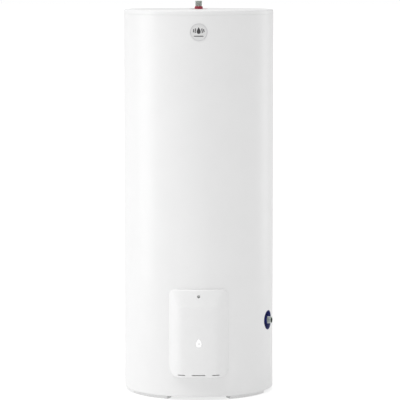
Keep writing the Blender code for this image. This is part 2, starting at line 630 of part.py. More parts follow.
def make_circuit_board(base):
    """The board with what is soldered on it, on four snap-in feet."""
    board = block(front(-0.056, 0.312, BOARD_FACE), front(0.004, 0.368, BOARD_FACE - 0.0016))
    board = part("circuit_board", board, BOARD_GREEN)
    fitted = bmesh.new()
    low = BOARD_FACE - 0.0008
    for x in (-0.052, 0.000):
        for z in (0.316, 0.364):
            add_to(fitted, disc(0.0025, base, low, ROUND_HOLE), (x, z, 0))
    add_to(fitted, block((-0.050, 0.320, low), (-0.034, 0.336, low + 0.013)))
    add_to(fitted, block((-0.048, 0.342, low), (-0.024, 0.358, low + 0.009)))
    add_to(fitted, block((-0.028, 0.322, low), (-0.018, 0.332, low + 0.007)))
    add_to(fitted, disc(0.0045, low, low + 0.012, ROUND_SMALL), (-0.012, 0.352, 0))
    add_to(fitted, disc(0.0035, low, low + 0.010, ROUND_SMALL), (-0.007, 0.328, 0))
    combine(board, tool("add_board_fittings", fitted, turned_by=FACING_FRONT), "UNION")


TERMINAL_XS = (0.020, 0.034, 0.048)


def smooth_route(points, between=4):
    """Points on a Catmull-Rom curve through the given ones."""
    ends = [2 * Vector(points[0]) - Vector(points[1]), 2 * Vector(points[-1]) - Vector(points[-2])]
    known = [ends[0], *map(Vector, points), ends[1]]
    route = []
    for index in range(1, len(known) - 2):
        before, start, end, after = known[index - 1 : index + 3]
        for step in range(between):
            t = step / between
            bend = 2 * before - 5 * start + 4 * end - after
            twist = 3 * start - before - 3 * end + after
            route.append((2 * start + (end - before) * t + bend * t**2 + twist * t**3) / 2)
    return route + [known[-2]]


def wire(name, material, points, radius=0.0014):
    """An insulated lead along a route of (x, z, distance out of the tank's axis)."""
    curve = bpy.data.curves.new(name, "CURVE")
    curve.dimensions = "3D"
    curve.bevel_depth = radius
    curve.bevel_resolution = 1
    curve.use_fill_caps = True
    route = smooth_route([front(*point) for point in points])
    spline = curve.splines.new("POLY")
    spline.points.add(len(route) - 1)
    for point, place_at in zip(spline.points, route):
        point.co = (*place_at, 1)
    curve.materials.append(material)
    place(bpy.data.objects.new(name, curve), (0, 0, 0), (0, 0, 0))


def make_wires():
    """Leads from the terminal block to the thermostat, from it to the element, and the earth."""
    entry = BRACKET_FACE + GAP + 0.007  # middle depth of the terminal block's wire mouths
    live, neutral, earth = TERMINAL_XS
    top = THERMOSTAT_ZS[1] + 0.0004
    bottom = THERMOSTAT_ZS[0] - 0.0004
    middle = THERMOSTAT_BACK + 0.012
    tag_z = FLANGE_Z + SHEATH_DROP
    tag_out = PLATE_FACE + GAP + 0.0190
    start = [(live, 0.319, entry), (live, 0.309, entry)]
    bend = [(0.011, 0.296, 0.2850), (-0.0035, 0.281, 0.2875)]
    end = [(-0.004, top + 0.004, middle), (-0.004, top, middle)]
    wire("live_supply_wire", LIVE_BROWN, start + bend + end)
    start = [(neutral, 0.319, entry), (neutral, 0.309, entry)]
    bend = [(0.027, 0.294, 0.2870), (0.0120, 0.281, 0.2890)]
    end = [(0.009, top + 0.004, middle), (0.009, top, middle)]
    wire("neutral_supply_wire", NEUTRAL_BLUE, start + bend + end)
    start = [(earth, 0.319, entry), (earth, 0.309, entry)]
    bend = [(0.0490, 0.288, 0.2870), (0.0445, 0.258, 0.2880), (0.0425, 0.232, 0.2840)]
    end = [(0.0417, 0.2185, PLATE_FACE + 0.0020), (0.0417, 0.2090, PLATE_FACE + 0.0018)]
    wire("earth_wire", EARTH_GREEN, start + bend + end)
    left, right = TAG_XS
    start = [(-0.030, bottom, middle), (-0.030, bottom - 0.004, middle)]
    bend = [(-0.025, 0.213, 0.2970), (-0.012, tag_z, 0.3010)]
    end = [(left, tag_z, tag_out + 0.003), (left, tag_z, tag_out)]
    wire("live_element_wire", LIVE_BROWN, start + bend + end)
    start = [(0.012, bottom, middle), (0.012, bottom - 0.004, middle)]
    bend = [(0.018, 0.215, 0.2960), (0.013, tag_z, 0.3010)]
    end = [(right, tag_z, tag_out + 0.003), (right, tag_z, tag_out)]
    wire("neutral_element_wire", NEUTRAL_BLUE, start + bend + end)


def make_recess():
    """Moulded liner of the service recess, the clip for the cover screw and the cable grommet."""
    half, (low, high) = LINER_HALF, LINER_ZS
    outer = block(front(-half, low, 0.300), front(half, high, LINER_BACK - LINER_WALL))
    liner = part("recess_liner", outer, WHITE_PLASTIC)
    half, low, high = half - LINER_WALL, low + LINER_WALL, high - LINER_WALL
    hollow = block(front(-half, low, 0.310), front(half, high, LINER_BACK))
    combine(liner, tool("cut_liner_hollow", hollow))
    port = disc(FLANGE_R + 0.0010, 0.22, 0.27)
    combine(liner, tool("cut_liner_port", port, (0, 0, FLANGE_Z), FACING_FRONT))
    inside = disc(JACKET_R - SHEET - 2 * GAP, 0.09, 0.44, ROUND_BIG)
    combine(liner, tool("keep_inside_jacket", inside), "INTERSECT")
    make_clip()
    make_grommet()


def make_clip():
    """Spring-steel clip over the opening's upper edge, which the cover's screw threads into."""
    skin, inner = JACKET_R + GAP, JACKET_R - SHEET - GAP - 0.0004
    sheet, bottom, top = 0.0008, OPENING_HIGH_Z - GAP - 0.0008, SCREW_Z + 0.007
    outline = [(-skin - sheet, top), (-skin - sheet, bottom), (-inner + sheet, bottom)]
    outline += [(-inner + sheet, top), (-inner, top), (-inner, bottom + sheet), (-skin, bottom + sheet)]
    outline += [(-skin, top)]
    # own x is the depth and own y the height; own z runs across the heater
    upright = (math.pi / 2, 0, math.pi / 2)
    clip = part("cover_clip", extruded(outline, 0.012), GALVANISED, (-0.006, 0, 0), upright)
    clear = tool("cut_clip", disc(0.0028, 0.27, 0.30, ROUND_HOLE), (0, 0, SCREW_Z), FACING_FRONT)
    combine(clip, clear)


def make_grommet():
    """Rubber grommet that grips the opening's lower edge, with the supply cable's hole through it."""
    edge = OPENING_LOW_Z
    body = block((-0.013, -0.2960, edge - 0.007), (0.013, -0.2790, edge + 0.016), 0.002)
    grommet = part("cable_grommet", body, RUBBER)
    sheet = ring(JACKET_R + GAP, JACKET_R - SHEET - GAP, edge - 0.02, edge + GAP, ROUND_BIG)
    combine(grommet, tool("cut_grommet_groove", sheet))
    hole = disc(0.0045, 0.27, 0.31, ROUND_SMALL)
    combine(grommet, tool("cut_cable_hole", hole, (0, 0, edge + 0.008), FACING_FRONT))


# ---- Access cover ------------------------------------------------------------------------------
PEG_X, PEG_Z = 0.045, 0.118


def cover_outline(z, inset):
    """Half width of the cover along the casing's curve, with its round corners, at this height."""
    half = COVER_HALF - inset
    low, high = COVER_LOW_Z + inset, COVER_HIGH_Z - inset
    for edge, corner in ((z - low, COVER_LOW_CORNER), (high - z, COVER_HIGH_CORNER)):
        corner -= inset
        if edge < corner:
            half -= corner - math.sqrt(max(0.0, corner**2 - (corner - edge) ** 2))
    return half


def cover_height(along, z):
    """How far the cover's skin stands out of the casing: flat front, brow turned back, sloping flanks."""
    flat = COVER_HALF - COVER_FLANK * (1 - COVER_LIP / COVER_PROUD)
    flank = COVER_LIP + COVER_PROUD * (COVER_HALF - abs(along)) / COVER_FLANK
    climb = max(0.0, z - (COVER_HIGH_Z - COVER_BROW)) / COVER_BROW
    turn = COVER_BROW_TWIST * max(0.0, abs(along) - flat)
    brow = COVER_PROUD - climb * COVER_BROW_DROP - min(1.0, climb) * turn
    return min(COVER_PROUD, flank, brow)


def hood(inset, thinner, back):
    """The solid under the cover's skin, down to a curved back. Rows climb, columns run across."""
    low, high = COVER_LOW_Z + inset, COVER_HIGH_Z - inset
    brow_z = COVER_HIGH_Z - COVER_BROW
    rows = [low, low + 0.004, low + 0.012, low + 0.034, 0.230, brow_z, 0.380, high - 0.013]
    rows += [high - 0.004, high]
    flat = (COVER_HALF - COVER_FLANK * (1 - COVER_LIP / COVER_PROUD)) / COVER_HALF
    shares = [flat * step / 3 for step in range(4)] + [0.70, 0.83, 1.0]
    shares = [-share for share in reversed(shares[1:])] + shares
    shape = bmesh.new()
    grids = []
    for is_skin in (True, False):
        grid = []
        for z in rows:
            half = cover_outline(z, inset)
            row = []
            for share in shares:
                along = half * share
                radius = JACKET_R + (cover_height(along, z) - thinner if is_skin else back)
                angle = along / JACKET_R
                row.append(shape.verts.new((radius * math.sin(angle), -radius * math.cos(angle), z)))
            grid.append(row)
        grids.append(grid)
    last_row, last_column = len(rows) - 1, len(shares) - 1
    for grid in grids:
        for i in range(last_row):
            for j in range(last_column):
                shape.faces.new((grid[i][j], grid[i][j + 1], grid[i + 1][j + 1], grid[i + 1][j]))
    skin, rear = grids
    for i in range(last_row):
        for j in (0, last_column):
            shape.faces.new((skin[i][j], skin[i + 1][j], rear[i + 1][j], rear[i][j]))
    for j in range(last_column):
        for i in (0, last_row):
            shape.faces.new((skin[i][j], skin[i][j + 1], rear[i][j + 1], rear[i][j]))
    bmesh.ops.triangulate(shape, faces=list(shape.faces))
    return shape


def drop_outline(width, height):
    """A water drop in XY, its tip up."""
    steps = 16
    points = []
    for step in range(steps):
        t = 2 * math.pi * step / steps
        pinch = math.sin((math.pi - t) / 2) if t <= math.pi else math.sin((t - math.pi) / 2)
        points.append((1.3 * width / 2 * math.sin(t) * abs(pinch) ** 1.2, -height / 2 * math.cos(t)))
    return list(reversed(points))


def make_cover():
    """Moulded hood over the service opening: vents below, screw well above, drop window in front."""
    cover = part("access_cover", hood(0, 0, GAP), WHITE_PLASTIC)
    inside = tool("cut_hood_inside", hood(0.0025, COVER_WALL, -0.010))
    boss_low = JACKET_R + 0.0022
    boss = tool("leave_screw_boss", disc(0.0085, boss_low, 0.34), (0, 0, SCREW_Z), FACING_FRONT)
    combine(inside, boss)
    combine(cover, inside)
    floor = boss_low + 0.002
    well = [(0, boss_low - 0.01), (0.0028, boss_low - 0.01), (0.0028, floor), (0.0056, floor)]
    well += [(0.0056, 0.33), (0, 0.33)]
    combine(cover, tool("cut_screw_well", turned(well, ROUND_SMALL), (0, 0, SCREW_Z), FACING_FRONT))
    pegs = bmesh.new()
    for side in (-1, 1):
        low = front(side * PEG_X - 0.004, PEG_Z - 0.003, 0.3090)
        add_to(pegs, block(low, front(side * PEG_X + 0.004, PEG_Z + 0.003, 0.2775)))
    combine(cover, tool("add_pegs", pegs), "UNION")
    low, high = SLOT_Z - SLOT_HEIGHT / 2, SLOT_Z + SLOT_HEIGHT / 2
    vents = bmesh.new()
    add_to(vents, block(front(-0.0265, low, 0.33), front(0.0265, high, 0.298)))
    for side in (-1, 1):
        near, far = sorted((side * 0.049, side * 0.081))
        add_to(vents, block(front(near, low, 0.33), front(far, high, 0.2735)))
    combine(cover, tool("cut_vents", vents))
    # the drop's outline lies in XY: standing it up makes own y the height
    drop = extruded(drop_outline(*DROP_SIZE), 0.04)
    combine(cover, tool("cut_drop_window", drop, front(0, DROP_Z, 0.29), FACING_FRONT))
    width, height = (size - 0.0008 for size in DROP_SIZE)
    lens = extruded(drop_outline(width, height), 0.0033)
    part("drop_lens", lens, LAMP_WHITE, front(0, DROP_Z, JACKET_R + COVER_PROUD - 0.0036), FACING_FRONT)
    head_at = front(0, SCREW_Z, floor + GAP)
    screw = fastener(0.0048, 0.0026, 0.0021, 0.0130, flats=10)
    screw = part("cover_screw", screw, GALVANISED, head_at, FACING_FRONT)
    slot = tool("cut_screw_slot", block((-0.0030, -0.0005, 0.0014), (0.0030, 0.0005, 0.004)))
    slot.parent = screw
    combine(screw, slot)


make_jacket()
make_top_cover()
make_base()
make_feet()
make_badge()
make_tank()
make_insulation()
make_connections()
make_flange()
make_element()
make_thermostat()
make_controls()
make_wires()
make_recess()
make_cover()
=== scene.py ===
# %% [markdown]
# # The looks of a floor-standing electric water heater
#
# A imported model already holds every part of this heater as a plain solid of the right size, in the right
# place. This lesson dresses it: casing, lid, cover and fittings are built again with the fine shapes of
# the real pieces, each surface gets a finish made of shader nodes, and a small studio lights the result.
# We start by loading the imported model, which is never moved or changed, and keep the box around it.

# %% Load the frame
import json
import math

import bmesh
import bpy
from mathutils import Matrix, Vector


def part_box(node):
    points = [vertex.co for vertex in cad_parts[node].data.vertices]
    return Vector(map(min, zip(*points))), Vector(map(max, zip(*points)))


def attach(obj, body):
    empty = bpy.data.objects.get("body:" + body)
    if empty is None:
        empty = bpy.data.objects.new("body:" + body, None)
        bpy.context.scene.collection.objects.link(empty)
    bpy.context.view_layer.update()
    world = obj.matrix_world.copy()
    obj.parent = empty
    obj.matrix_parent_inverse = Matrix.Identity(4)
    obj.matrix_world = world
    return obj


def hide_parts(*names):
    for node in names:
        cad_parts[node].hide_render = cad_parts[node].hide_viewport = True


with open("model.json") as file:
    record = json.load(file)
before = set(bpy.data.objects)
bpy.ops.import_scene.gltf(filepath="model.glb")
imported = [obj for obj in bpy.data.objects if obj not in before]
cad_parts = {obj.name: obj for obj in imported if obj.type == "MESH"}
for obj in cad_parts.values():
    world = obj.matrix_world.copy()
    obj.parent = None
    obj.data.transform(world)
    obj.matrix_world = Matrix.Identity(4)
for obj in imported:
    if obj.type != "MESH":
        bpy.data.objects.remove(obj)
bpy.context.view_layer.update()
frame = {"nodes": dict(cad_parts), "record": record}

# %% [markdown]
# ## Measuring
#
# No size is typed in twice. The casing is a cylinder, so its box gives its radius and its axis, and every
# other place is read from the box of the part that it belongs to. Lengths are in metres, and `MM` keeps
# small ones readable.

# %% The casing's cylinder
MM = 0.001
GAP = 0.3 * MM  # the running gap that the frame keeps between neighbours

casing_low, casing_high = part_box("jacket")
CASING_R = (casing_high.x - casing_low.x) / 2
AXIS_Y = (casing_high.y + casing_low.y) / 2
RIM_Z, SEAM_Z = casing_low.z, casing_high.z
TOP_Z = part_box("top_cover")[1].z
print(f"casing radius {CASING_R * 1000:.1f} mm, from {RIM_Z:.3f} to {TOP_Z:.3f} m, axis at y {AXIS_Y:.4f}")


def middle(node):
    """The middle of a part's box."""
    low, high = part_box(node)
    return (low + high) / 2


def front(x, z, out):
    """A point before the tank's axis, at this height and this distance out of the axis."""
    return Vector((x, AXIS_Y - out, z))


def face_box(node):
    """The middle and the size of a part, as seen from the front."""
    low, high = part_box(node)
    return ((low.x + high.x) / 2, (low.z + high.z) / 2), (high.x - low.x, high.z - low.z)


def out_of(node):
    """How far out of the tank's axis a front part starts and ends."""
    low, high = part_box(node)
    return AXIS_Y - high.y, AXIS_Y - low.y


# %% [markdown]
# ## Shapes
#
# Nearly every piece of a heater is turned, pressed, bent from sheet or moulded. Three helpers cover them:
# `turn` sweeps an outline about an axis, `stack` lofts one outline through layers that grow or shrink,
# and `slab` is a stack with rounded edges. A real edge is never sharp, and its small highlight is what
# makes a piece look solid, so the outlines themselves are rounded first by `soften`.

# %% Outlines
def soften(points, reach, steps=4, closed=True):
    """Rounds an outline's corners. A third number on a point is its own reach, and 0 keeps it sharp."""
    made = []
    for index, point in enumerate(points):
        here = Vector(point[:2])
        own = point[2] if len(point) > 2 else reach
        at_end = not closed and index in (0, len(points) - 1)
        if own == 0 or at_end:
            made.append(here)
            continue
        back = Vector(points[index - 1][:2]) - here
        ahead = Vector(points[(index + 1) % len(points)][:2]) - here
        near = min(own, back.length * 0.49, ahead.length * 0.49)
        start, end = here + back.normalized() * near, here + ahead.normalized() * near
        for step in range(steps + 1):
            t = step / steps
            made.append(start * (1 - t) ** 2 + here * (2 * t * (1 - t)) + end * t**2)
    return made


def circle(radius, count=64, at=(0, 0)):
    turns = [2 * math.pi * step / count for step in range(count)]
    return [Vector((at[0] + radius * math.cos(a), at[1] + radius * math.sin(a))) for a in turns]


def rectangle(width, height, corner, at=(0, 0), steps=4):
    x, y = width / 2, height / 2
    corners = [(at[0] - x, at[1] - y), (at[0] + x, at[1] - y), (at[0] + x, at[1] + y), (at[0] - x, at[1] + y)]
    return soften(corners, corner, steps)


def grown(outline, amount):
    """An anticlockwise outline moved outwards by this much."""
    made = []
    for index, here in enumerate(outline):
        back = (here - outline[index - 1]).normalized()
        ahead = (outline[(index + 1) % len(outline)] - here).normalized()
        side = Vector((ahead.y + back.y, -ahead.x - back.x)).normalized()
        made.append(here + side * (amount / max(side.dot(Vector((ahead.y, -ahead.x))), 0.5)))
    return made


def refined(outline, longest):
    """The same outline with long sides divided, so that it can bend."""
    made = []
    for index, here in enumerate(outline):
        ahead = outline[(index + 1) % len(outline)]
        parts = max(1, math.ceil((ahead - here).length / longest))
        made += [here.lerp(ahead, part / parts) for part in range(parts)]
    return made


# %% Solids
def bridge(shape, loops, around=False):
    """Faces from each loop of points to the next."""
    following = loops[1:] + loops[:1] if around else loops[1:]
    for lower, upper in zip(loops, following):
        for index, corner in enumerate(lower):
            after = (index + 1) % len(lower)
            corners = tuple(dict.fromkeys((corner, lower[after], upper[after], upper[index])))
            if len(corners) > 2:
                shape.faces.new(corners)


def capped(shape, loops):
    """Faces between the loops, and one more that closes each end."""
    bridge(shape, loops)
    shape.faces.new(loops[0][::-1])
    shape.faces.new(loops[-1])
    return shape


def turn(profile, segments=96, closed=True):
    """A round piece: an outline of (radius, height) swept about its own Z."""
    shape = bmesh.new()
    loops = []
    for radius, height in profile:
        if radius < 1e-6:
            loops.append([shape.verts.new((0, 0, height))] * segments)
        else:
            loops.append([shape.verts.new((*point, height)) for point in circle(radius, segments)])
    bridge(shape, loops, closed)
    return shape


def stack(outline, layers):
    """A solid through copies of one outline: each layer says how far it grows and how high it lies."""
    shape = bmesh.new()
    loops = [[shape.verts.new((*point, height)) for point in grown(outline, by)] for by, height in layers]
    return capped(shape, loops)


def slab(outline, low, high, edge, steps=3):
    """A solid with this outline between two heights, its edges rounded."""
    turns = [math.pi / 2 * step / steps for step in range(steps + 1)]
    below = [(-edge * (1 - math.sin(a)), low + edge * (1 - math.cos(a))) for a in turns]
    above = [(by, high + low - height) for by, height in reversed(below)]
    return stack(outline, below + above)


def joined(*shapes):
    """Several separate solids in one shape."""
    whole = shapes[0]
    for shape in shapes[1:]:
        mesh = bpy.data.meshes.new("joined")
        shape.to_mesh(mesh)
        shape.free()
        whole.from_mesh(mesh)
        bpy.data.meshes.remove(mesh)
    return whole


def moved(shape, *steps):
    """A shape after one or more matrices, the last one first."""
    for step in reversed(steps):
        bmesh.ops.transform(shape, matrix=step, verts=shape.verts)
    return shape


def shift(x=0.0, y=0.0, z=0.0):
    return Matrix.Translation((x, y, z))


# %% [markdown]
# Two more helpers bend things. The casing is round, so what lies on it is drawn flat and then wrapped:
# own x runs along the skin, own y up, and own z out of it. A lead or a bead follows a route, which
# `route_through` makes smooth.

# %% Bending
def wrap(shape, facing=0.0):
    """Bends a flat shape round the casing's skin, with its middle at this angle from the front."""
    for vert in shape.verts:
        along, up, out = vert.co
        angle = facing + along / CASING_R
        radius = CASING_R + out
        vert.co = (radius * math.sin(angle), AXIS_Y - radius * math.cos(angle), up)
    return shape


def route_through(points, between=10):
    """Points on a smooth curve through the given ones."""
    points = [Vector(point) for point in points]
    known = [2 * points[0] - points[1], *points, 2 * points[-1] - points[-2]]
    route = []
    for before, start, end, after in zip(known, known[1:], known[2:], known[3:]):
        for step in range(between):
            t = step / between
            bend = 2 * before - 5 * start + 4 * end - after
            twist = 3 * start - before - 3 * end + after
            route.append((2 * start + (end - before) * t + bend * t**2 + twist * t**3) / 2)
    return route + [points[-1]]


def tube(route, radius, sides=12):
    """A round bar along a route, with rounded ends."""
    shape, loops = bmesh.new(), []
    across = None
    for index, here in enumerate(route):
        ahead = (route[min(index + 1, len(route) - 1)] - route[max(index - 1, 0)]).normalized()
        if across is None:
            across = ahead.orthogonal().normalized()
        across = (across - ahead * across.dot(ahead)).normalized()
        over = ahead.cross(across)
        at_end = index in (0, len(route) - 1)
        size = radius * (0.8 if at_end else 1.0)
        loops.append([shape.verts.new(here + across * p.x + over * p.y) for p in circle(size, sides)])
    return capped(shape, loops)


# %% [markdown]
# `piece` turns a shape into a finished object: shaded smooth up to its sharp edges, given a material and
# set on the body that it moves with. `carve` cuts a shape out of a piece, or welds one on, with a
# Boolean that is applied at once, so that nothing but the piece stays in the scene.

# %% Pieces
TO_FRONT = Matrix.Rotation(math.pi / 2, 4, "X")  # own z points to the front, own y stays up
made_pieces = []


def smooth_up_to(mesh, degrees):
    mesh.shade_smooth()
    mesh.set_sharp_from_angle(angle=math.radians(degrees))


def piece(name, shape, material, at=(0, 0, 0), turned_by=None, body="heater", stands_for=(), sharp=38):
    """Makes one visible piece, which may stand for parts of the frame."""
    bmesh.ops.recalc_face_normals(shape, faces=shape.faces)
    if shape.calc_volume(signed=True) < 0:
        bmesh.ops.reverse_faces(shape, faces=shape.faces)
    mesh = bpy.data.meshes.new(name)
    shape.to_mesh(mesh)
    shape.free()
    smooth_up_to(mesh, sharp)
    mesh.materials.append(material)
    obj = bpy.data.objects.new(name, mesh)
    bpy.context.scene.collection.objects.link(obj)
    obj.matrix_world = Matrix.Translation(at) @ (turned_by or Matrix())
    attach(obj, body)
    if stands_for:
        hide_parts(*stands_for)
    made_pieces.append(obj)
    return obj


def carve(obj, shape, operation="DIFFERENCE", sharp=38):
    """Cuts a shape out of a piece, or adds it. The shape is in the piece's own coordinates."""
    bmesh.ops.recalc_face_normals(shape, faces=shape.faces)
    mesh = bpy.data.meshes.new("tool")
    shape.to_mesh(mesh)
    shape.free()
    tool = bpy.data.objects.new("tool", mesh)
    bpy.context.scene.collection.objects.link(tool)
    bpy.context.view_layer.update()
    tool.matrix_world = obj.matrix_world
    modifier = obj.modifiers.new("carve", "BOOLEAN")
    modifier.operation = operation
    modifier.object = tool
    graph = bpy.context.evaluated_depsgraph_get()
    result = bpy.data.meshes.new_from_object(obj.evaluated_get(graph))
    obj.modifiers.clear()
    obj.data = result
    smooth_up_to(result, sharp)
    bpy.data.objects.remove(tool)
    return obj


print("shape helpers are ready")

# %% [markdown]
# ## The studio
#
# A white heater on a white ground is read by its shading alone. A wide soft light stands almost at its
# left side, so the casing is bright there and falls off towards the right. A very wide light overhead
# lifts whatever faces up, a weak one behind on the right draws that edge, and a low one in front opens
# the shadow under the cover. The rest comes evenly from a white surround, which is brighter for the
# camera than for the heater: that keeps the ground pale without washing the casing out.

# %% Camera
CAMERA_AWAY = 9.554  # from the tank's axis
CAMERA_HEIGHT = 1.667
CAMERA_TILT = math.radians(5.571)
CAMERA_TURN = math.radians(0.03)
LENS = 223.2  # long, so that the upright casing hardly converges

camera_data = bpy.data.cameras.new("studio_camera")
camera_data.lens = LENS
camera_data.clip_end = 400
camera = bpy.data.objects.new("studio_camera", camera_data)
bpy.context.scene.collection.objects.link(camera)
camera.location = (0, AXIS_Y - CAMERA_AWAY, CAMERA_HEIGHT)
camera.rotation_euler = (math.pi / 2 - CAMERA_TILT, 0, -CAMERA_TURN)
bpy.context.scene.camera = camera
bpy.context.scene.view_settings.view_transform = "Standard"
print(f"camera {CAMERA_AWAY} m away, {CAMERA_HEIGHT} m up")

# %% Surround and lamps
SURROUND_SEEN = 1.0
SURROUND_LIGHT = 0.65
OVERHEAD_STRENGTH = 1.5  # a very wide sun, so that the light is even from top to bottom
OVERHEAD_SPREAD = math.radians(60)
OVERHEAD_LEAN, OVERHEAD_AZIMUTH = math.radians(18), math.radians(-75)

world = bpy.data.worlds.new("white_surround")
world.use_nodes = True
bpy.context.scene.world = world
surround = world.node_tree.nodes["Background"]
seen = world.node_tree.nodes.new("ShaderNodeLightPath")
strength = world.node_tree.nodes.new("ShaderNodeMapRange")
strength.inputs["To Min"].default_value = SURROUND_LIGHT
strength.inputs["To Max"].default_value = SURROUND_SEEN
world.node_tree.links.new(seen.outputs["Is Camera Ray"], strength.inputs["Value"])
world.node_tree.links.new(strength.outputs["Result"], surround.inputs["Strength"])
surround.inputs["Color"].default_value = (1, 1, 1, 1)


def soft_light(name, azimuth, height, away, size, watts):
    """A square lamp that looks at the heater's middle. Azimuth 0 is the front, 90 the right."""
    data = bpy.data.lights.new(name, "AREA")
    data.shape = "RECTANGLE"
    data.size, data.size_y = size
    data.energy = watts
    lamp = bpy.data.objects.new(name, data)
    bpy.context.scene.collection.objects.link(lamp)
    turned = math.radians(azimuth)
    lamp.location = (away * math.sin(turned), AXIS_Y - away * math.cos(turned), height)
    aim = Vector((0, AXIS_Y, TOP_Z / 2)) - lamp.location
    lamp.rotation_euler = aim.to_track_quat("-Z", "Y").to_euler()
    return lamp


soft_light("left_softbox", -84, 0.95, 3.2, (1.6, 2.6), 19)
sky_data = bpy.data.lights.new("overhead_glow", "SUN")
sky_data.energy = OVERHEAD_STRENGTH
sky_data.angle = OVERHEAD_SPREAD
overhead = bpy.data.objects.new("overhead_glow", sky_data)
bpy.context.scene.collection.objects.link(overhead)
overhead.rotation_euler = (OVERHEAD_LEAN, 0, OVERHEAD_AZIMUTH)
soft_light("right_rear_softbox", 118, 1.2, 3.4, (1.2, 2.4), 9)
soft_light("low_fill", -10, 0.25, 2.6, (2.0, 0.5), 2.5)

# %% [markdown]
# ## Shader effects
#
# A finish is more than a colour: paint has a faint orange peel, plastic the grain of its mould, zinc its
# crystals, and everything gathers dust on top and wears at its edges. Each effect is a node group with
# named inputs, built once and used by many finishes with their own sizes. Sizes are in metres, because
# the pieces' own coordinates are. A group hands out only heights, masks and colours, and every Principled
# shader stays in its own material.

# %% Node helpers
def feed(tree, socket, value):
    """Links a socket to another one, or sets its own value."""
    if isinstance(value, bpy.types.NodeSocket):
        tree.links.new(value, socket)
    elif socket.type == "RGBA":
        socket.default_value = (*value, 1)
    else:
        socket.default_value = value


def add(tree, kind, settings=(), **inputs):
    """Adds a shader node with its options and inputs."""
    node = tree.nodes.new("ShaderNode" + kind)
    for option, value in dict(settings).items():
        setattr(node, option, value)
    for label, value in inputs.items():
        feed(tree, node.inputs[label.replace("_", " ")], value)
    return node


def calc(tree, operation, *values, clamp=False):
    node = add(tree, "Math", {"operation": operation, "use_clamp": clamp})
    for socket, value in zip(node.inputs, values):
        feed(tree, socket, value)
    return node.outputs[0]


def mixed(tree, share, first, second):
    """One colour turning into another as the share grows."""
    node = add(tree, "Mix", {"data_type": "RGBA"})
    for index, value in ((0, share), (6, first), (7, second)):
        feed(tree, node.inputs[index], value)
    return node.outputs[2]


def ramp(tree, value, low, high, to_low=0.0, to_high=1.0):
    """A value stretched from one range to another, and held there."""
    node = add(tree, "MapRange", Value=value, From_Min=low, From_Max=high, To_Min=to_low, To_Max=to_high)
    return node.outputs["Result"]


def cloud(tree, place, size, detail=2.0):
    """Soft noise whose blobs are about this big."""
    scale = calc(tree, "DIVIDE", 1.0, size)
    return add(tree, "TexNoise", Vector=place, Scale=scale, Detail=detail).outputs[0]


def effect(name, inputs, outputs):
    """An empty node group. A socket's first value tells its kind: None makes it a vector."""
    tree = bpy.data.node_groups.new(name, "ShaderNodeTree")
    for in_out, sockets in (("INPUT", inputs), ("OUTPUT", outputs)):
        for label, value in sockets.items():
            kind = "NodeSocketVector" if value is None else "NodeSocketFloat"
            socket = tree.interface.new_socket(name=label, in_out=in_out, socket_type=kind)
            if value is not None:
                socket.default_value = value
    return tree, tree.nodes.new("NodeGroupInput").outputs, tree.nodes.new("NodeGroupOutput").inputs


def use(tree, group, **inputs):
    """Places an effect in a material and returns its outputs."""
    node = add(tree, "Group", {"node_tree": group}, **inputs)
    return node.outputs


# %% [markdown]
# `fine_relief` gives the height of a grained surface and a broad mottle. `handling` gives the soft
# smudges that hands and cloths leave, which show only in the gloss.

# %% Relief and handling
FINE_RELIEF, given, result = effect(
    "fine_relief", {"Place": None, "Size": 0.001}, {"Height": 0.0, "Mottle": 0.0}
)
coarse = cloud(FINE_RELIEF, given["Place"], given["Size"], 3.0)
finer = cloud(FINE_RELIEF, given["Place"], calc(FINE_RELIEF, "MULTIPLY", given["Size"], 0.37))
grain = calc(FINE_RELIEF, "MULTIPLY_ADD", finer, 0.4, calc(FINE_RELIEF, "MULTIPLY", coarse, 0.6))
broad = cloud(FINE_RELIEF, given["Place"], calc(FINE_RELIEF, "MULTIPLY", given["Size"], 60.0))
feed(FINE_RELIEF, result["Height"], grain)
feed(FINE_RELIEF, result["Mottle"], ramp(FINE_RELIEF, broad, 0.35, 0.65))

HANDLING, given, result = effect("handling", {"Place": None, "Size": 0.05}, {"Smudge": 0.0})
patches = ramp(HANDLING, cloud(HANDLING, given["Place"], given["Size"], 3.0), 0.45, 0.72)
streaks = cloud(HANDLING, given["Place"], calc(HANDLING, "MULTIPLY", given["Size"], 0.15), 4.0)
feed(HANDLING, result["Smudge"], calc(HANDLING, "MULTIPLY", patches, ramp(HANDLING, streaks, 0.3, 0.7)))

# %% [markdown]
# `edge_wear` finds edges by comparing the surface's normal with one that a Bevel node has rounded off:
# where they differ, there is an edge. Noise breaks the mask up, because wear comes in chips and rubs.
# `settled_dust` lies on what faces up, in uneven patches.

# %% Edge wear and dust
EDGE_WEAR, given, result = effect(
    "edge_wear", {"Place": None, "Width": 0.0006, "Spread": 0.01}, {"Edge": 0.0}
)
rounded = add(EDGE_WEAR, "Bevel", {"samples": 4}, Radius=given["Width"]).outputs[0]
flat = add(EDGE_WEAR, "NewGeometry").outputs["Normal"]
alike = add(EDGE_WEAR, "VectorMath", {"operation": "DOT_PRODUCT"})
feed(EDGE_WEAR, alike.inputs[0], rounded)
feed(EDGE_WEAR, alike.inputs[1], flat)
edge = ramp(EDGE_WEAR, calc(EDGE_WEAR, "SUBTRACT", 1.0, alike.outputs["Value"]), 0.01, 0.12)
chips = ramp(EDGE_WEAR, cloud(EDGE_WEAR, given["Place"], given["Spread"], 4.0), 0.42, 0.62)
feed(EDGE_WEAR, result["Edge"], calc(EDGE_WEAR, "MULTIPLY", edge, chips))

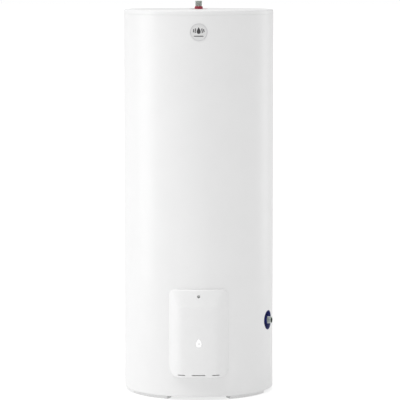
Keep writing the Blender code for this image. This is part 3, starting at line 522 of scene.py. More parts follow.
SETTLED_DUST, given, result = effect("settled_dust", {"Place": None, "Amount": 0.2}, {"Dust": 0.0})
up = add(SETTLED_DUST, "SeparateXYZ", Vector=add(SETTLED_DUST, "NewGeometry").outputs["Normal"])
lying = ramp(SETTLED_DUST, up.outputs["Z"], 0.35, 0.95)
uneven = ramp(SETTLED_DUST, cloud(SETTLED_DUST, given["Place"], 0.03, 4.0), 0.25, 0.75, 0.35, 1.0)
settled = calc(SETTLED_DUST, "MULTIPLY", calc(SETTLED_DUST, "MULTIPLY", lying, uneven), given["Amount"])
feed(SETTLED_DUST, result["Dust"], settled)

# %% [markdown]
# `zinc_spangle` is the pattern of crystals on hot-dip galvanised steel: flat cells that each catch the
# light their own way. `lathe_lines` are the fine rings that a cutting tool leaves round a turned piece.

# %% Spangle and lathe lines
ZINC_SPANGLE, given, result = effect(
    "zinc_spangle", {"Place": None, "Size": 0.004}, {"Shade": 0.0, "Height": 0.0}
)
per_cell = calc(ZINC_SPANGLE, "DIVIDE", 1.0, given["Size"])
crystals = add(ZINC_SPANGLE, "TexVoronoi", Vector=given["Place"], Scale=per_cell)
shade = add(ZINC_SPANGLE, "SeparateColor", Color=crystals.outputs["Color"]).outputs[0]
feathers = cloud(ZINC_SPANGLE, given["Place"], calc(ZINC_SPANGLE, "MULTIPLY", given["Size"], 0.2), 4.0)
feed(
    ZINC_SPANGLE, result["Shade"],
    calc(ZINC_SPANGLE, "MULTIPLY_ADD", feathers, 0.4, calc(ZINC_SPANGLE, "MULTIPLY", shade, 0.6)),
)
feed(ZINC_SPANGLE, result["Height"], calc(ZINC_SPANGLE, "MULTIPLY_ADD", shade, 0.5, feathers))

LATHE_LINES, given, result = effect("lathe_lines", {"Place": None, "Pitch": 0.0004}, {"Height": 0.0})
axes = add(LATHE_LINES, "SeparateXYZ", Vector=given["Place"]).outputs
squares = calc(
    LATHE_LINES, "MULTIPLY_ADD", axes["X"], axes["X"],
    calc(LATHE_LINES, "MULTIPLY", axes["Y"], axes["Y"]),
)
along = calc(LATHE_LINES, "ADD", calc(LATHE_LINES, "SQRT", squares), axes["Z"])
turns = calc(LATHE_LINES, "DIVIDE", along, given["Pitch"])
rings = add(LATHE_LINES, "TexNoise", {"noise_dimensions": "1D"}, W=turns, Scale=1.0, Detail=2.0).outputs[0]
feed(LATHE_LINES, result["Height"], rings)
print("effects:", ", ".join(group.name for group in bpy.data.node_groups))

# %% [markdown]
# ## Finishes
#
# `finish` builds what all the materials share: a colour that the mottle and the dust change a little, a
# roughness that smudges and dust change, and a bump as deep as the real relief. What stays the same over
# the whole surface is set on the shader itself. A finish that needs more adds it afterwards.

# %% The common finish
DUST_COLOUR = (0.60, 0.58, 0.55)


def finish(name, slot, colour, roughness, metallic=0.0, grain=(1.0, 0.02), mottle=0.04, dust=0.1, **fixed):
    """A material with varied colour and gloss and a fine relief. Grain is its size and depth in mm."""
    made = bpy.data.materials.new(name)
    made.use_nodes = True
    tree = made.node_tree
    shader = tree.nodes["Principled BSDF"]
    shader.inputs["Metallic"].default_value = metallic
    for label, value in fixed.items():
        shader.inputs[label.replace("_", " ")].default_value = value
    place = add(tree, "TexCoord").outputs["Object"]
    size, depth = grain
    relief = use(tree, FINE_RELIEF, Place=place, Size=size * MM)
    smudge = use(tree, HANDLING, Place=place, Size=0.04)["Smudge"]
    lying = use(tree, SETTLED_DUST, Place=place, Amount=dust)["Dust"]
    darker = tuple(part * (1 - mottle) for part in colour)
    toned = mixed(tree, relief["Mottle"], colour, darker)
    feed(tree, shader.inputs["Base Color"], mixed(tree, lying, toned, DUST_COLOUR))
    gloss = calc(tree, "MULTIPLY_ADD", smudge, 0.10, roughness)
    feed(tree, shader.inputs["Roughness"], calc(tree, "MULTIPLY_ADD", lying, 0.35, gloss, clamp=True))
    bump = add(tree, "Bump", Height=relief["Height"], Distance=depth * MM, Strength=1.0)
    feed(tree, shader.inputs["Normal"], bump.outputs["Normal"])
    return made


def parts_of(material):
    """A material's tree, its shader, its coordinates and its bump node, for adding to it."""
    tree = material.node_tree
    bump = next(node for node in tree.nodes if node.type == "BUMP")
    place = next(node for node in tree.nodes if node.type == "TEX_COORD").outputs["Object"]
    return tree, tree.nodes["Principled BSDF"], place, bump


def recolour(material, share, colour):
    """Lays another colour over a finish where the share is high."""
    tree, shader, _, _ = parts_of(material)
    under = shader.inputs["Base Color"].links[0].from_socket
    feed(tree, shader.inputs["Base Color"], mixed(tree, share, under, colour))


def add_relief(material, height, depth):
    """Stacks a second bump, in mm, on a finish's own."""
    tree, shader, _, bump = parts_of(material)
    over = add(tree, "Bump", Height=height, Distance=depth * MM, Strength=1.0)
    feed(tree, over.inputs["Normal"], bump.outputs["Normal"])
    feed(tree, shader.inputs["Normal"], over.outputs["Normal"])


def wear_edges(material, colour, width, spread=12):
    """Shows another colour along a finish's worn edges. Width and spread are in mm."""
    tree, _, place, _ = parts_of(material)
    worn = use(tree, EDGE_WEAR, Place=place, Width=width * MM, Spread=spread * MM)["Edge"]
    recolour(material, worn, colour)


# %% [markdown]
# **Paint and plastics.** The casing is powder-coated steel: glossy, with a faint orange peel. The cover
# and the feet are moulded, so they are a little duller and carry the fine grain of their mould.

# %% Paint and plastics
PAINT = finish(
    "white_powder_paint", "white_paint", (0.86, 0.86, 0.86), 0.30, grain=(1.8, 0.010), mottle=0.012
)
wear_edges(PAINT, (0.80, 0.80, 0.79), 0.5, 30)
COVER_PLASTIC = finish(
    "white_moulded_plastic", "white_plastic", (0.86, 0.86, 0.86), 0.38, grain=(0.6, 0.012), mottle=0.01
)
FOOT_PLASTIC = finish(
    "foot_plastic", "white_plastic", (0.86, 0.86, 0.86), 0.50, grain=(0.8, 0.03), mottle=0.05, dust=0.3
)
wear_edges(FOOT_PLASTIC, (0.60, 0.60, 0.59), 0.8, 8)
LINER_PLASTIC = finish(
    "liner_plastic", "white_plastic", (0.72, 0.72, 0.71), 0.50, grain=(0.9, 0.03), dust=0.3
)
RED = finish("red_collar_plastic", "red_plastic", (0.40, 0.035, 0.065), 0.35, grain=(0.7, 0.015))
BLUE = finish("blue_collar_plastic", "blue_plastic", (0.012, 0.020, 0.17), 0.35, grain=(0.7, 0.015))
OPAL = finish(
    "opal_lens", "lamp_white", (0.92, 0.92, 0.92), 0.18, grain=(2.0, 0.004), mottle=0.01,
    Subsurface_Weight=0.3,
)
opal_shader = OPAL.node_tree.nodes["Principled BSDF"]
opal_shader.inputs["Subsurface Radius"].default_value = (0.003, 0.003, 0.003)
opal_shader.inputs["Emission Color"].default_value = (1, 1, 1, 1)
opal_shader.inputs["Emission Strength"].default_value = 0.20
KNOB_WHITE = finish("knob_plastic", "white_plastic", (0.82, 0.82, 0.81), 0.35, grain=(0.5, 0.01), dust=0.2)
# A grey for the mark on the drop lens, which is a painted reflection inside the lens, not a print.
LENS_REFLECTION_GREY = finish("painted_reflection_grey", "lamp_white", (0.45, 0.45, 0.45), 0.45, grain=(0.5, 0.004), mottle=0.05)

# %% [markdown]
# **Metals.** The sheet parts are hot-dip galvanised, so they show spangle. Screws and pipe nipples are
# zinc plated after turning, so they show lathe lines instead. Their edges are rubbed brighter.

# %% Metals
ZINC_SHEET = finish(
    "galvanised_sheet", "galvanised_steel", (0.56, 0.58, 0.57), 0.34, 1.0, grain=(0.5, 0.008), dust=0.25
)
tree, _, place, _ = parts_of(ZINC_SHEET)
spangle = use(tree, ZINC_SPANGLE, Place=place, Size=0.0045)
recolour(ZINC_SHEET, calc(tree, "MULTIPLY", spangle["Shade"], 0.55), (0.36, 0.38, 0.38))
add_relief(ZINC_SHEET, spangle["Height"], 0.01)
wear_edges(ZINC_SHEET, (0.75, 0.76, 0.75), 0.4)


def turned_metal(name, slot, colour, roughness, pitch, bright):
    """A finish for pieces cut on a lathe. Pitch is the distance between the tool's marks in mm."""
    made = finish(name, slot, colour, roughness, 1.0, grain=(0.4, 0.006), mottle=0.12, dust=0.2)
    tree, _, place, _ = parts_of(made)
    add_relief(made, use(tree, LATHE_LINES, Place=place, Pitch=pitch * MM)["Height"], 0.02)
    wear_edges(made, bright, 0.3, 5)
    return made


PLATED = turned_metal(
    "zinc_plated_steel", "galvanised_steel", (0.52, 0.54, 0.53), 0.32, 0.35, (0.80, 0.80, 0.78)
)
PIPE_STEEL = turned_metal("pipe_steel", "galvanised_steel", (0.58, 0.62, 0.59), 0.30, 0.5, (0.66, 0.68, 0.66))
BRASS = turned_metal("brass_fitting", "brass", (0.72, 0.50, 0.22), 0.30, 0.3, (0.90, 0.72, 0.40))
ANODE = finish("magnesium_rod", "magnesium", (0.55, 0.55, 0.53), 0.55, 1.0, grain=(2.0, 0.08), mottle=0.3)
TANK_STEEL = finish(
    "tank_enamel", "black_steel", (0.035, 0.037, 0.042), 0.48, grain=(2.5, 0.08), mottle=0.4, dust=0.2
)
wear_edges(TANK_STEEL, (0.16, 0.10, 0.07), 1.2, 15)
print("metals are ready")

# %% [markdown]
# **Inside.** Foam shows its cut cells, ceramic its unglazed grain, and the thermostat's black moulding a
# few pale flecks of filler. The circuit board is green lacquer over copper tracks: a brick texture laid
# on its side makes the runs, and a second one the pads.

# %% Inner finishes
FOAM = finish("polyurethane_foam", "foam", (0.80, 0.70, 0.42), 0.85, grain=(1.2, 0.2), mottle=0.15)
tree, _, place, _ = parts_of(FOAM)
cells = add(tree, "TexVoronoi", {"feature": "F1"}, Vector=place, Scale=450.0).outputs["Distance"]
add_relief(FOAM, cells, 0.6)
recolour(FOAM, ramp(tree, cells, 0.45, 0.8), (0.55, 0.44, 0.22))
RUBBER = finish(
    "black_rubber", "rubber", (0.018, 0.018, 0.019), 0.62, grain=(0.7, 0.05), mottle=0.3, dust=0.4
)
CERAMIC = finish("unglazed_ceramic", "ceramic", (0.78, 0.72, 0.62), 0.70, grain=(0.9, 0.06), mottle=0.12)
BLACK_MOULDING = finish(
    "black_moulding", "bakelite", (0.022, 0.022, 0.024), 0.36, grain=(0.6, 0.02), mottle=0.3, dust=0.2
)
tree, _, place, _ = parts_of(BLACK_MOULDING)
flecks = ramp(tree, cloud(tree, place, 0.0004, 1.0), 0.72, 0.78, 0.0, 0.25)
recolour(BLACK_MOULDING, flecks, (0.20, 0.20, 0.20))
wear_edges(BLACK_MOULDING, (0.10, 0.10, 0.10), 0.3, 6)

BOARD = finish("board_lacquer", "board", (0.010, 0.115, 0.045), 0.28, grain=(0.5, 0.006), dust=0.15)
tree, _, place, _ = parts_of(BOARD)
tracks = add(
    tree, "TexBrick", {"offset": 0.35}, Vector=place, Scale=140.0, Mortar_Size=0.045,
    Brick_Width=1.3, Row_Height=0.42,
)
recolour(BOARD, calc(tree, "MULTIPLY", tracks.outputs["Fac"], 0.6), (0.03, 0.24, 0.10))
add_relief(BOARD, tracks.outputs["Fac"], 0.04)

BADGE_SILVER = finish("satin_silver", "badge", (0.70, 0.70, 0.71), 0.30, 0.6, grain=(0.5, 0.006), mottle=0.03)
BADGE_WHITE = finish("badge_enamel", "badge", (0.76, 0.76, 0.76), 0.22, grain=(1.5, 0.004), mottle=0.01)
BADGE_INK = finish("badge_ink", "badge", (0.045, 0.045, 0.048), 0.40, grain=(0.6, 0.01), mottle=0.1)


def lead_finish(name, slot, colour):
    return finish(name, slot, colour, 0.42, grain=(0.5, 0.01), mottle=0.08, dust=0.15)


LIVE = lead_finish("brown_insulation", "live_brown", (0.115, 0.038, 0.016))
NEUTRAL = lead_finish("blue_insulation", "neutral_blue", (0.018, 0.075, 0.42))
EARTH_GREEN = lead_finish("green_insulation", "earth_green", (0.03, 0.30, 0.05))
EARTH_YELLOW = lead_finish("yellow_insulation", "earth_green", (0.75, 0.60, 0.04))
RELAY_BLUE = lead_finish("relay_case", "neutral_blue", (0.02, 0.09, 0.30))
WINDING = lead_finish("winding_tape", "brass", (0.62, 0.42, 0.06))

# %% [markdown]
# ## Casing
#
# The casing is one sheet of steel, rolled round and hooked together at the back, with its lower edge
# folded inwards. `turn` makes it from the sheet's own section, with 240 steps so that no flat shows
# against the light. The openings are cut afterwards, so that they keep the sheet's real thickness.

# %% The rolled sheet
SHEET = 1.0 * MM
HEM_WIDTH = 7.0 * MM
CASING_STEPS = 240

section = [
    (CASING_R - HEM_WIDTH, RIM_Z, 0),
    (CASING_R, RIM_Z, 3.2 * MM),
    (CASING_R, SEAM_Z, 0.5 * MM),
    (CASING_R - SHEET, SEAM_Z, 0.3 * MM),
    (CASING_R - SHEET, RIM_Z + SHEET, 2.2 * MM),
    (CASING_R - HEM_WIDTH, RIM_Z + SHEET, 0),
]
on_axis = shift(y=AXIS_Y)
rolled = moved(turn(soften(section, 0.3 * MM, 6), CASING_STEPS), on_axis)
casing = piece("casing_sheet", rolled, PAINT, stands_for=["jacket"])

clip_low, clip_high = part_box("cover_clip")
OPENING_WIDTH = 0.170
OPENING_LOW_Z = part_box("cable_grommet")[0].z + 7 * MM  # the grommet's groove sits on the edge
OPENING_HIGH_Z = clip_low.z + 1.1 * MM  # the clip hooks over the other edge
THROUGH_SHEET = [(0, 0.25), (0, 0.32)]  # from inside the casing to outside it
opening_middle = (OPENING_LOW_Z + OPENING_HIGH_Z) / 2
opening = rectangle(OPENING_WIDTH, OPENING_HIGH_Z - OPENING_LOW_Z, 12 * MM, (0, opening_middle), 8)
through_front = on_axis @ TO_FRONT
carve(casing, moved(stack(opening, THROUGH_SHEET), through_front))
SCREW_AT = middle("cover_screw")
screw_hole = stack(circle(4 * MM, 24, (0, SCREW_AT.z)), THROUGH_SHEET)
carve(casing, moved(screw_hole, through_front))
print(f"service opening {OPENING_WIDTH:.3f} x {OPENING_HIGH_Z - OPENING_LOW_Z:.3f} m")

# %% [markdown]
# The cover hooks into two slots below the opening, and the cold inlet comes through a round hole on the
# right. The frame's record states where that pipe ends and which way it points, so we read it there.

# %% Peg slots and the inlet's hole
PEG_X, PEG_Z = 45 * MM, 118 * MM
for side in (-1, 1):
    slot = rectangle(10 * MM, 8 * MM, 1.5 * MM, (side * PEG_X, PEG_Z))
    carve(casing, moved(stack(slot, THROUGH_SHEET), through_front))

inlet = next(mount for mount in frame["record"]["mounts"] if mount["name"] == "cold_inlet_end")
INLET_WAY = Vector(inlet["axis"])
INLET_Z = middle("cold_inlet_pipe").z
COLLAR_R = (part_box("hot_collar")[1].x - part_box("hot_collar")[0].x) / 2
INLET_AZIMUTH = math.atan2(INLET_WAY.x, -INLET_WAY.y)
TO_INLET = Matrix.Rotation(INLET_AZIMUTH, 4, "Z") @ TO_FRONT
inlet_skin = Vector((0, AXIS_Y, INLET_Z)) + INLET_WAY * CASING_R
to_skin = Matrix.Translation(inlet_skin) @ TO_INLET
carve(casing, moved(stack(circle(COLLAR_R + 0.5 * MM, 96), [(0, -0.02), (0, 0.02)]), to_skin))
print(f"inlet {math.degrees(INLET_AZIMUTH):.0f} degrees from the front, at {INLET_Z:.3f} m")

# %% [markdown]
# At the back the sheet's two edges are hooked into each other and pressed flat, in a shallow groove so
# that the seam doesn't stand out of the skin. The groove and the seam are drawn flat, as long strips,
# and then wrapped round the skin.

# %% Lock seam at the back
SEAM_WIDTH = 11 * MM
SEAM_LENGTH = SEAM_Z - RIM_Z - 8 * MM
SEAM_TOP = -0.15 * MM
seam_middle = (0, (SEAM_Z + RIM_Z) / 2)
groove = stack(rectangle(SEAM_WIDTH, SEAM_LENGTH, 1.5 * MM, seam_middle), [(0, -4 * MM), (0.7 * MM, 4 * MM)])
carve(casing, wrap(groove, math.pi))
seam = slab(rectangle(SEAM_WIDTH, SEAM_LENGTH, 1.5 * MM, seam_middle), -1.4 * MM, SEAM_TOP, 0.4 * MM)
for vert in seam.verts:
    if vert.co.z > -0.8 * MM and vert.co.x > 0:
        vert.co.z -= 0.3 * MM
piece("casing_lock_seam", wrap(seam, math.pi), PAINT)

# %% [markdown]
# The lid is a pressing too: a round shoulder, a side that stands flush with the casing, a lip that sits
# inside it, and a shallow ring pressed into its top to stop it from drumming.

# %% Lid
SHOULDER = 7 * MM
LID_SHEET = 1.5 * MM
lid_seam = SEAM_Z + GAP
inside = CASING_R - SHEET - GAP
BEAD_R, BEAD_DEPTH, BEAD_HALF = 0.205, 1.2 * MM, 9 * MM
section = [
    (inside - 1.2 * MM, lid_seam - 11 * MM),
    (inside, lid_seam - 11 * MM),
    (inside, lid_seam),
    (CASING_R, lid_seam, 0.5 * MM),
    (CASING_R, TOP_Z, SHOULDER),
    (BEAD_R + BEAD_HALF, TOP_Z, 6 * MM),
    (BEAD_R, TOP_Z - BEAD_DEPTH, 6 * MM),
    (BEAD_R - BEAD_HALF, TOP_Z, 6 * MM),
    (COLLAR_R + 0.5 * MM, TOP_Z, 0.8 * MM),
    (COLLAR_R + 0.5 * MM, TOP_Z - LID_SHEET),
    (BEAD_R - BEAD_HALF, TOP_Z - LID_SHEET, 6 * MM),
    (BEAD_R, TOP_Z - BEAD_DEPTH - LID_SHEET, 6 * MM),
    (BEAD_R + BEAD_HALF, TOP_Z - LID_SHEET, 6 * MM),
    (CASING_R - LID_SHEET, TOP_Z - LID_SHEET, SHOULDER - LID_SHEET),
    (inside - 1.2 * MM, TOP_Z - 12 * MM),
]
pressed = moved(turn(soften(section, 0.2 * MM, 8), CASING_STEPS), on_axis)
piece("pressed_lid", pressed, PAINT, stands_for=["top_cover"])
print("lid top at", round(TOP_Z, 4))

# %% [markdown]
# ## Water connections
#
# Both connections are 3/4 inch steel nipples in a funnel-shaped plastic collar, red for hot and blue for
# cold. The thread is a real helix: on the nipple's side the radius dips with the height and with the
# angle, one turn for each pitch, so no separate coil has to be welded on.

# %% A threaded nipple
THREAD_PITCH = 1.814 * MM
THREAD_DEPTH = 1.10 * MM
ROWS_PER_TURN = 9
PIPE_SIDES = 72


def nipple(radius, bore, low, high, thread_low):
    """A pipe from low to high along its own Z, with a thread cut from thread_low to its end."""
    shape = bmesh.new()
    rows = [low] + [thread_low + THREAD_PITCH / ROWS_PER_TURN * row for row in range(400)]
    rows = [row for row in rows if row < high - 0.1 * MM] + [high]
    outer = []
    for row in rows:
        run_out = min(1.0, max(0.0, (row - thread_low) / (2 * THREAD_PITCH)))
        chamfer = max(0.0, row - (high - THREAD_DEPTH)) * 0.8
        loop = []
        for step in range(PIPE_SIDES):
            angle = 2 * math.pi * step / PIPE_SIDES
            phase = (row / THREAD_PITCH - step / PIPE_SIDES) % 1.0
            dip = min(1.0, max(0.0, 1.3 * abs(2 * phase - 1) - 0.15)) * THREAD_DEPTH * run_out
            here = radius - max(dip, chamfer)
            loop.append(shape.verts.new((here * math.cos(angle), here * math.sin(angle), row)))
        outer.append(loop)
    inner = []
    for row, wider in ((high, 0.6 * MM), (high - 0.6 * MM, 0.0), (low, 0.0)):
        inner.append([shape.verts.new((*point, row)) for point in circle(bore + wider, PIPE_SIDES)])
    bridge(shape, outer + inner, around=True)
    return shape


def radii(node, axis):
    """The outer radius of a part that is round about this axis."""
    low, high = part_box(node)
    return (high[axis] - low[axis]) / 2


PIPE_R = radii("hot_outlet_pipe", 0)
PIPE_BORE_R = PIPE_R - 3.2 * MM
hot_low, hot_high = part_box("hot_outlet_pipe")
hot = nipple(PIPE_R, PIPE_BORE_R, hot_low.z, hot_high.z, TOP_Z + 5 * MM)
piece("hot_nipple", hot, PIPE_STEEL, (0, AXIS_Y, 0), stands_for=["hot_outlet_pipe"])

inlet_end = Vector(inlet["pos_m"]).xy - Vector((0, AXIS_Y))
INLET_REACH = inlet_end.dot(INLET_WAY.xy)
cold = nipple(PIPE_R, PIPE_BORE_R, 0.190, INLET_REACH, CASING_R - 8 * MM)
piece("cold_nipple", cold, PIPE_STEEL, (0, AXIS_Y, INLET_Z), TO_INLET, stands_for=["cold_inlet_pipe"])
print(f"nipples {PIPE_R * 2000:.1f} mm across, cold one ends {INLET_REACH * 1000:.1f} mm out of the axis")

# %% [markdown]
# Each collar is turned from one section: an outer wall, a sloping funnel and a hub round the pipe. Six
# thin ribs stiffen the funnel. The cold one sits in a round casing, so its rim follows the curve: each
# point is lowered by what the casing falls away there, in full at the rim and not at all at the floor.

# %% Collars
COLLAR_DEPTH = TOP_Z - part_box("hot_collar")[0].z
HUB_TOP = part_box("hot_collar")[1].z - TOP_Z
HUB_R = 15.4 * MM
RIBS = 6


def collar(hub_top, rim):
    """A funnel collar. Heights are measured from the casing's skin."""
    bore, floor = PIPE_R + GAP, -COLLAR_DEPTH
    section = [
        (bore, floor, 0),
        (COLLAR_R, floor, 0),
        (COLLAR_R, rim, 0.7 * MM),
        (COLLAR_R - 1.8 * MM, rim, 0.7 * MM),
        (COLLAR_R - 7 * MM, floor + 2 * MM, 3 * MM),
        (HUB_R + 2 * MM, floor + 2 * MM, 2 * MM),
        (HUB_R, hub_top, 1.2 * MM),
        (bore, hub_top, 0.6 * MM),
    ]
    shape = turn(soften(section, 0, 5), 96)
    for rib in range(RIBS):
        outline = rectangle(
            COLLAR_R - HUB_R - 4 * MM, 1.4 * MM, 0.5 * MM, ((COLLAR_R + HUB_R - 4 * MM) / 2, 0), 2
        )
        bar = slab(outline, floor + 1.5 * MM, floor + 8 * MM, 0.4 * MM, 2)
        turned = Matrix.Rotation(2 * math.pi * (rib + 0.5) / RIBS, 4, "Z")
        shape = joined(shape, moved(bar, turned))
    return shape


piece("hot_funnel_collar", collar(HUB_TOP, 0.0), RED, (0, AXIS_Y, TOP_Z), stands_for=["hot_collar"])
curved = collar(0.0, 0.3 * MM)
for vert in curved.verts:
    share = (vert.co.z + COLLAR_DEPTH) / COLLAR_DEPTH
    if math.hypot(vert.co.x, vert.co.y) > HUB_R + 2 * MM:
        vert.co.z -= share * vert.co.x**2 / (2 * CASING_R)
piece("cold_funnel_collar", curved, BLUE, inlet_skin, TO_INLET, stands_for=["cold_collar"])
print("collar depth", round(COLLAR_DEPTH, 4), "hub", round(HUB_TOP, 4))

# %% [markdown]
# ## Feet
#
# The four feet follow the casing's curve. One outline in arcs makes them all: rounded corners, a small
# draft from the mould, a step where the foot goes up into the casing, and a thin groove above the sole.

# %% Curved feet
FOOT_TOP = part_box("foot_front_right")[1].z
FOOT_OUTER_R, FOOT_INNER_R = 0.278, 0.241
FOOT_HALF = math.radians(19.6)
FOOT_STEPS = 14

turns = [FOOT_HALF * (2 * step / FOOT_STEPS - 1) for step in range(FOOT_STEPS + 1)]
outer = [(FOOT_OUTER_R * math.sin(a), -FOOT_OUTER_R * math.cos(a)) for a in turns]
inner = [(FOOT_INNER_R * math.sin(a), -FOOT_INNER_R * math.cos(a)) for a in reversed(turns)]
foot_outline = soften(outer + inner, 3 * MM, 3)
foot_layers = [(-1.8, 0), (-0.7, 0.35), (-0.1, 1.4), (0, 3.0), (0, 4.0), (-0.7, 4.3), (-0.7, 4.9), (0, 5.2)]
foot_layers += [(-0.2, 12.0), (-1.2, 12.8), (-1.3, FOOT_TOP / MM)]
foot_layers = [(by * MM, height * MM) for by, height in foot_layers]
for name, azimuth in (("front_left", -45), ("front_right", 45), ("rear_right", 135), ("rear_left", 225)):
    turned = Matrix.Rotation(math.radians(azimuth), 4, "Z")
    shape = stack(foot_outline, foot_layers)
    piece(f"curved_foot_{name}", shape, FOOT_PLASTIC, (0, AXIS_Y, 0), turned, stands_for=[f"foot_{name}"])
print("feet stand", round(FOOT_TOP, 4), "m high")

# %% [markdown]
# ## Round badge
#
# A thin disc with a raised satin rim, bent to the casing. Its mark is generic: a drop between rising
# waves of warmth, over a plain bar. Mark and disc are drawn flat and wrapped round the casing together.

# %% Badge
BADGE = middle("round_badge")
BADGE_R = (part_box("round_badge")[1].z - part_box("round_badge")[0].z) / 2
FACE_RISE = 1.0 * MM
RIM_RISE = 1.7 * MM
MARK_RISE = FACE_RISE + 0.35 * MM

at_badge = shift(y=BADGE.z)
rim_section = [
    (BADGE_R - 2.6 * MM, GAP), (BADGE_R, GAP), (BADGE_R, RIM_RISE, 0.9 * MM),
    (BADGE_R - 2.6 * MM, RIM_RISE, 0.9 * MM),
]
rim = turn(soften(rim_section, 0.1 * MM, 5), 120)
piece("badge_rim", wrap(moved(rim, at_badge)), BADGE_SILVER, stands_for=["round_badge"])
face_section = [(0, GAP)] + [((BADGE_R - 2.7 * MM) * share / 8, GAP) for share in range(1, 9)]
face_section += [
    ((BADGE_R - 2.7 * MM) * share / 8, FACE_RISE) for share in range(8, 0, -1)
] + [(0, FACE_RISE)]
face = turn([Vector(point) for point in face_section], 120)
piece("badge_face", wrap(moved(face, at_badge)), BADGE_WHITE)


def drop_outline(width, height, steps=40):
    """A water drop, its tip up."""
    points = []
    for step in range(steps):
        t = 2 * math.pi * step / steps
        pinch = abs(math.sin((math.pi - t) / 2))
        points.append(Vector((1.3 * width / 2 * math.sin(t) * pinch**1.2, -height / 2 * math.cos(t))))
    return points


def wave(x, low, high, sway, width):
    """A short upright wave as a closed outline."""
    steps = 12
    heights = [low + (high - low) * step / steps for step in range(steps + 1)]
    middle_line = [x + sway * math.sin(2 * math.pi * (z - low) / (high - low)) for z in heights]
    right = [Vector((here + width / 2, z)) for here, z in zip(middle_line, heights)]
    left = [Vector((here - width / 2, z)) for here, z in zip(middle_line, heights)]
    return right + left[::-1]


marks = [
    moved(
        slab(drop_outline(15 * MM, 25 * MM), FACE_RISE - 0.1 * MM, MARK_RISE, 0.15 * MM),
        shift(y=6 * MM),
    )
]
for side in (-1, 1):
    for x, half in ((12.5, 8.5), (19.0, 6.0)):
        outline = wave(side * x * MM, (5.5 - half) * MM, (5.5 + half) * MM, side * 0.8 * MM, 3.6 * MM)
        marks.append(slab(soften(outline, 0.8 * MM, 2), FACE_RISE - 0.1 * MM, MARK_RISE, 0.15 * MM))
bar = refined(rectangle(36 * MM, 3.0 * MM, 1.4 * MM, (0, -15 * MM)), 2 * MM)
marks.append(slab(bar, FACE_RISE - 0.1 * MM, MARK_RISE, 0.15 * MM))
piece("badge_mark", wrap(moved(joined(*marks), at_badge)), BADGE_INK)
print(f"badge {BADGE_R * 2000:.0f} mm across at {BADGE.z:.3f} m")

# %% [markdown]
# ## Access cover
#
# The cover is a moulded hood. Its front is parallel to the casing, both flanks slope down to a thin lip,
# and the brow above leans back, with its corners turned further. So its shape is one height over the
# casing, given for each place on it: the lowest of the front, the brow and the flank, blended where they
# meet. The blend is wide at the flanks and tight at the brow, where the real mould has a crisp crease.

# %% How far the cover stands out
cover_low, cover_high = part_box("access_cover")
LIP = 2.5 * MM
WALL = 3.0 * MM
FLANK, BROW, BROW_DROP, BROW_TWIST = 52 * MM, 65 * MM, 13.5 * MM, 0.12
LOW_CORNER, HIGH_CORNER = 36 * MM, 24 * MM
PROUD = AXIS_Y - cover_low.y - CASING_R
COVER_HALF = CASING_R * math.asin(cover_high.x / (CASING_R + LIP))
PANEL_HALF = COVER_HALF - FLANK * (1 - LIP / PROUD)
CREASE_Z = cover_high.z - BROW
COVER_Z = (cover_low.z + cover_high.z) / 2
FLANK_BLEND, BROW_BLEND, TWIST_BLEND = 7 * MM, 0.5 * MM, 0.4 * MM
RIM_ROUNDING = 4.5 * MM


def blend_low(first, second, radius):
    """The lower of two heights, with a round transition."""
    share = max(radius - abs(first - second), 0) / radius
    return min(first, second) - share**2 * radius / 4


def edge_distance(along, z):
    """How far inside the cover's outline a place is."""
    corner = LOW_CORNER if z < COVER_Z else HIGH_CORNER
    beside = abs(along) - (COVER_HALF - corner)
    beyond = abs(z - COVER_Z) - ((cover_high.z - cover_low.z) / 2 - corner)
    return corner - math.hypot(max(beside, 0), max(beyond, 0)) - min(max(beside, beyond), 0)


def skin_height(along, z):
    """How far the cover's outer skin stands out of the casing."""
    climb = (z - CREASE_Z) / BROW
    brow = PROUD - climb * BROW_DROP
    turned_back = brow - min(1, max(climb, 0)) * BROW_TWIST * (abs(along) - PANEL_HALF)
    if climb > 0:
        brow = blend_low(brow, turned_back, TWIST_BLEND)
    flank = LIP + PROUD * (COVER_HALF - abs(along)) / FLANK
    height = blend_low(blend_low(PROUD, brow, BROW_BLEND), flank, FLANK_BLEND)
    reach = min(RIM_ROUNDING, 0.8 * height)
    edge = max(0.0, edge_distance(along, z))
    if edge < reach:
        height -= reach - math.sqrt(reach**2 - (reach - edge) ** 2)
    return height


print(f"cover {COVER_HALF * 2000:.0f} mm along the curve, stands {PROUD * 1000:.1f} mm proud")

# %% [markdown]
# The skin is a grid of rows and columns laid over that height. Rows lie closer where the outline turns
# its corners and at the crease, and columns where the flanks begin. A second grid inside, one wall lower,
# makes the hollow, and two strips along the edge close the shell.

# %% The hood
def arc_steps(corner, steps):
    return [corner * (1 - math.cos(math.pi / 2 * step / steps)) for step in range(steps + 1)]


def spread(low, high, steps):
    return [low + (high - low) * step / steps for step in range(steps)]


low_rows = [cover_low.z + step for step in arc_steps(LOW_CORNER, 16)]
high_rows = [cover_high.z - step for step in reversed(arc_steps(HIGH_CORNER, 14))]
crease_rows = [CREASE_Z + step * MM for step in (-3, -1.5, -0.7, -0.3, 0, 0.3, 0.7, 1.5, 3)]
COVER_ROWS = low_rows[:-1] + spread(low_rows[-1], crease_rows[0], 34) + crease_rows
COVER_ROWS += spread(crease_rows[-1], high_rows[0], 12)[1:] + high_rows
shares = spread(0, 0.42, 6) + spread(0.42, 0.76, 16) + spread(0.76, 0.96, 7)
shares += [0.96, 0.972, 0.981, 0.987, 0.992, 0.996, 0.999, 1.0]
COVER_SHARES = [-share for share in reversed(shares[1:])] + shares


def cover_half_width(z, inset):
    """Half of the cover's width at this height, with its round corners."""
    half = COVER_HALF - inset
    below, above = z - cover_low.z - inset, cover_high.z - inset - z
    for edge, corner in ((below, LOW_CORNER - inset), (above, HIGH_CORNER - inset)):
        if edge < corner:
            half -= corner - math.sqrt(max(0.0, corner**2 - (corner - edge) ** 2))
    return half


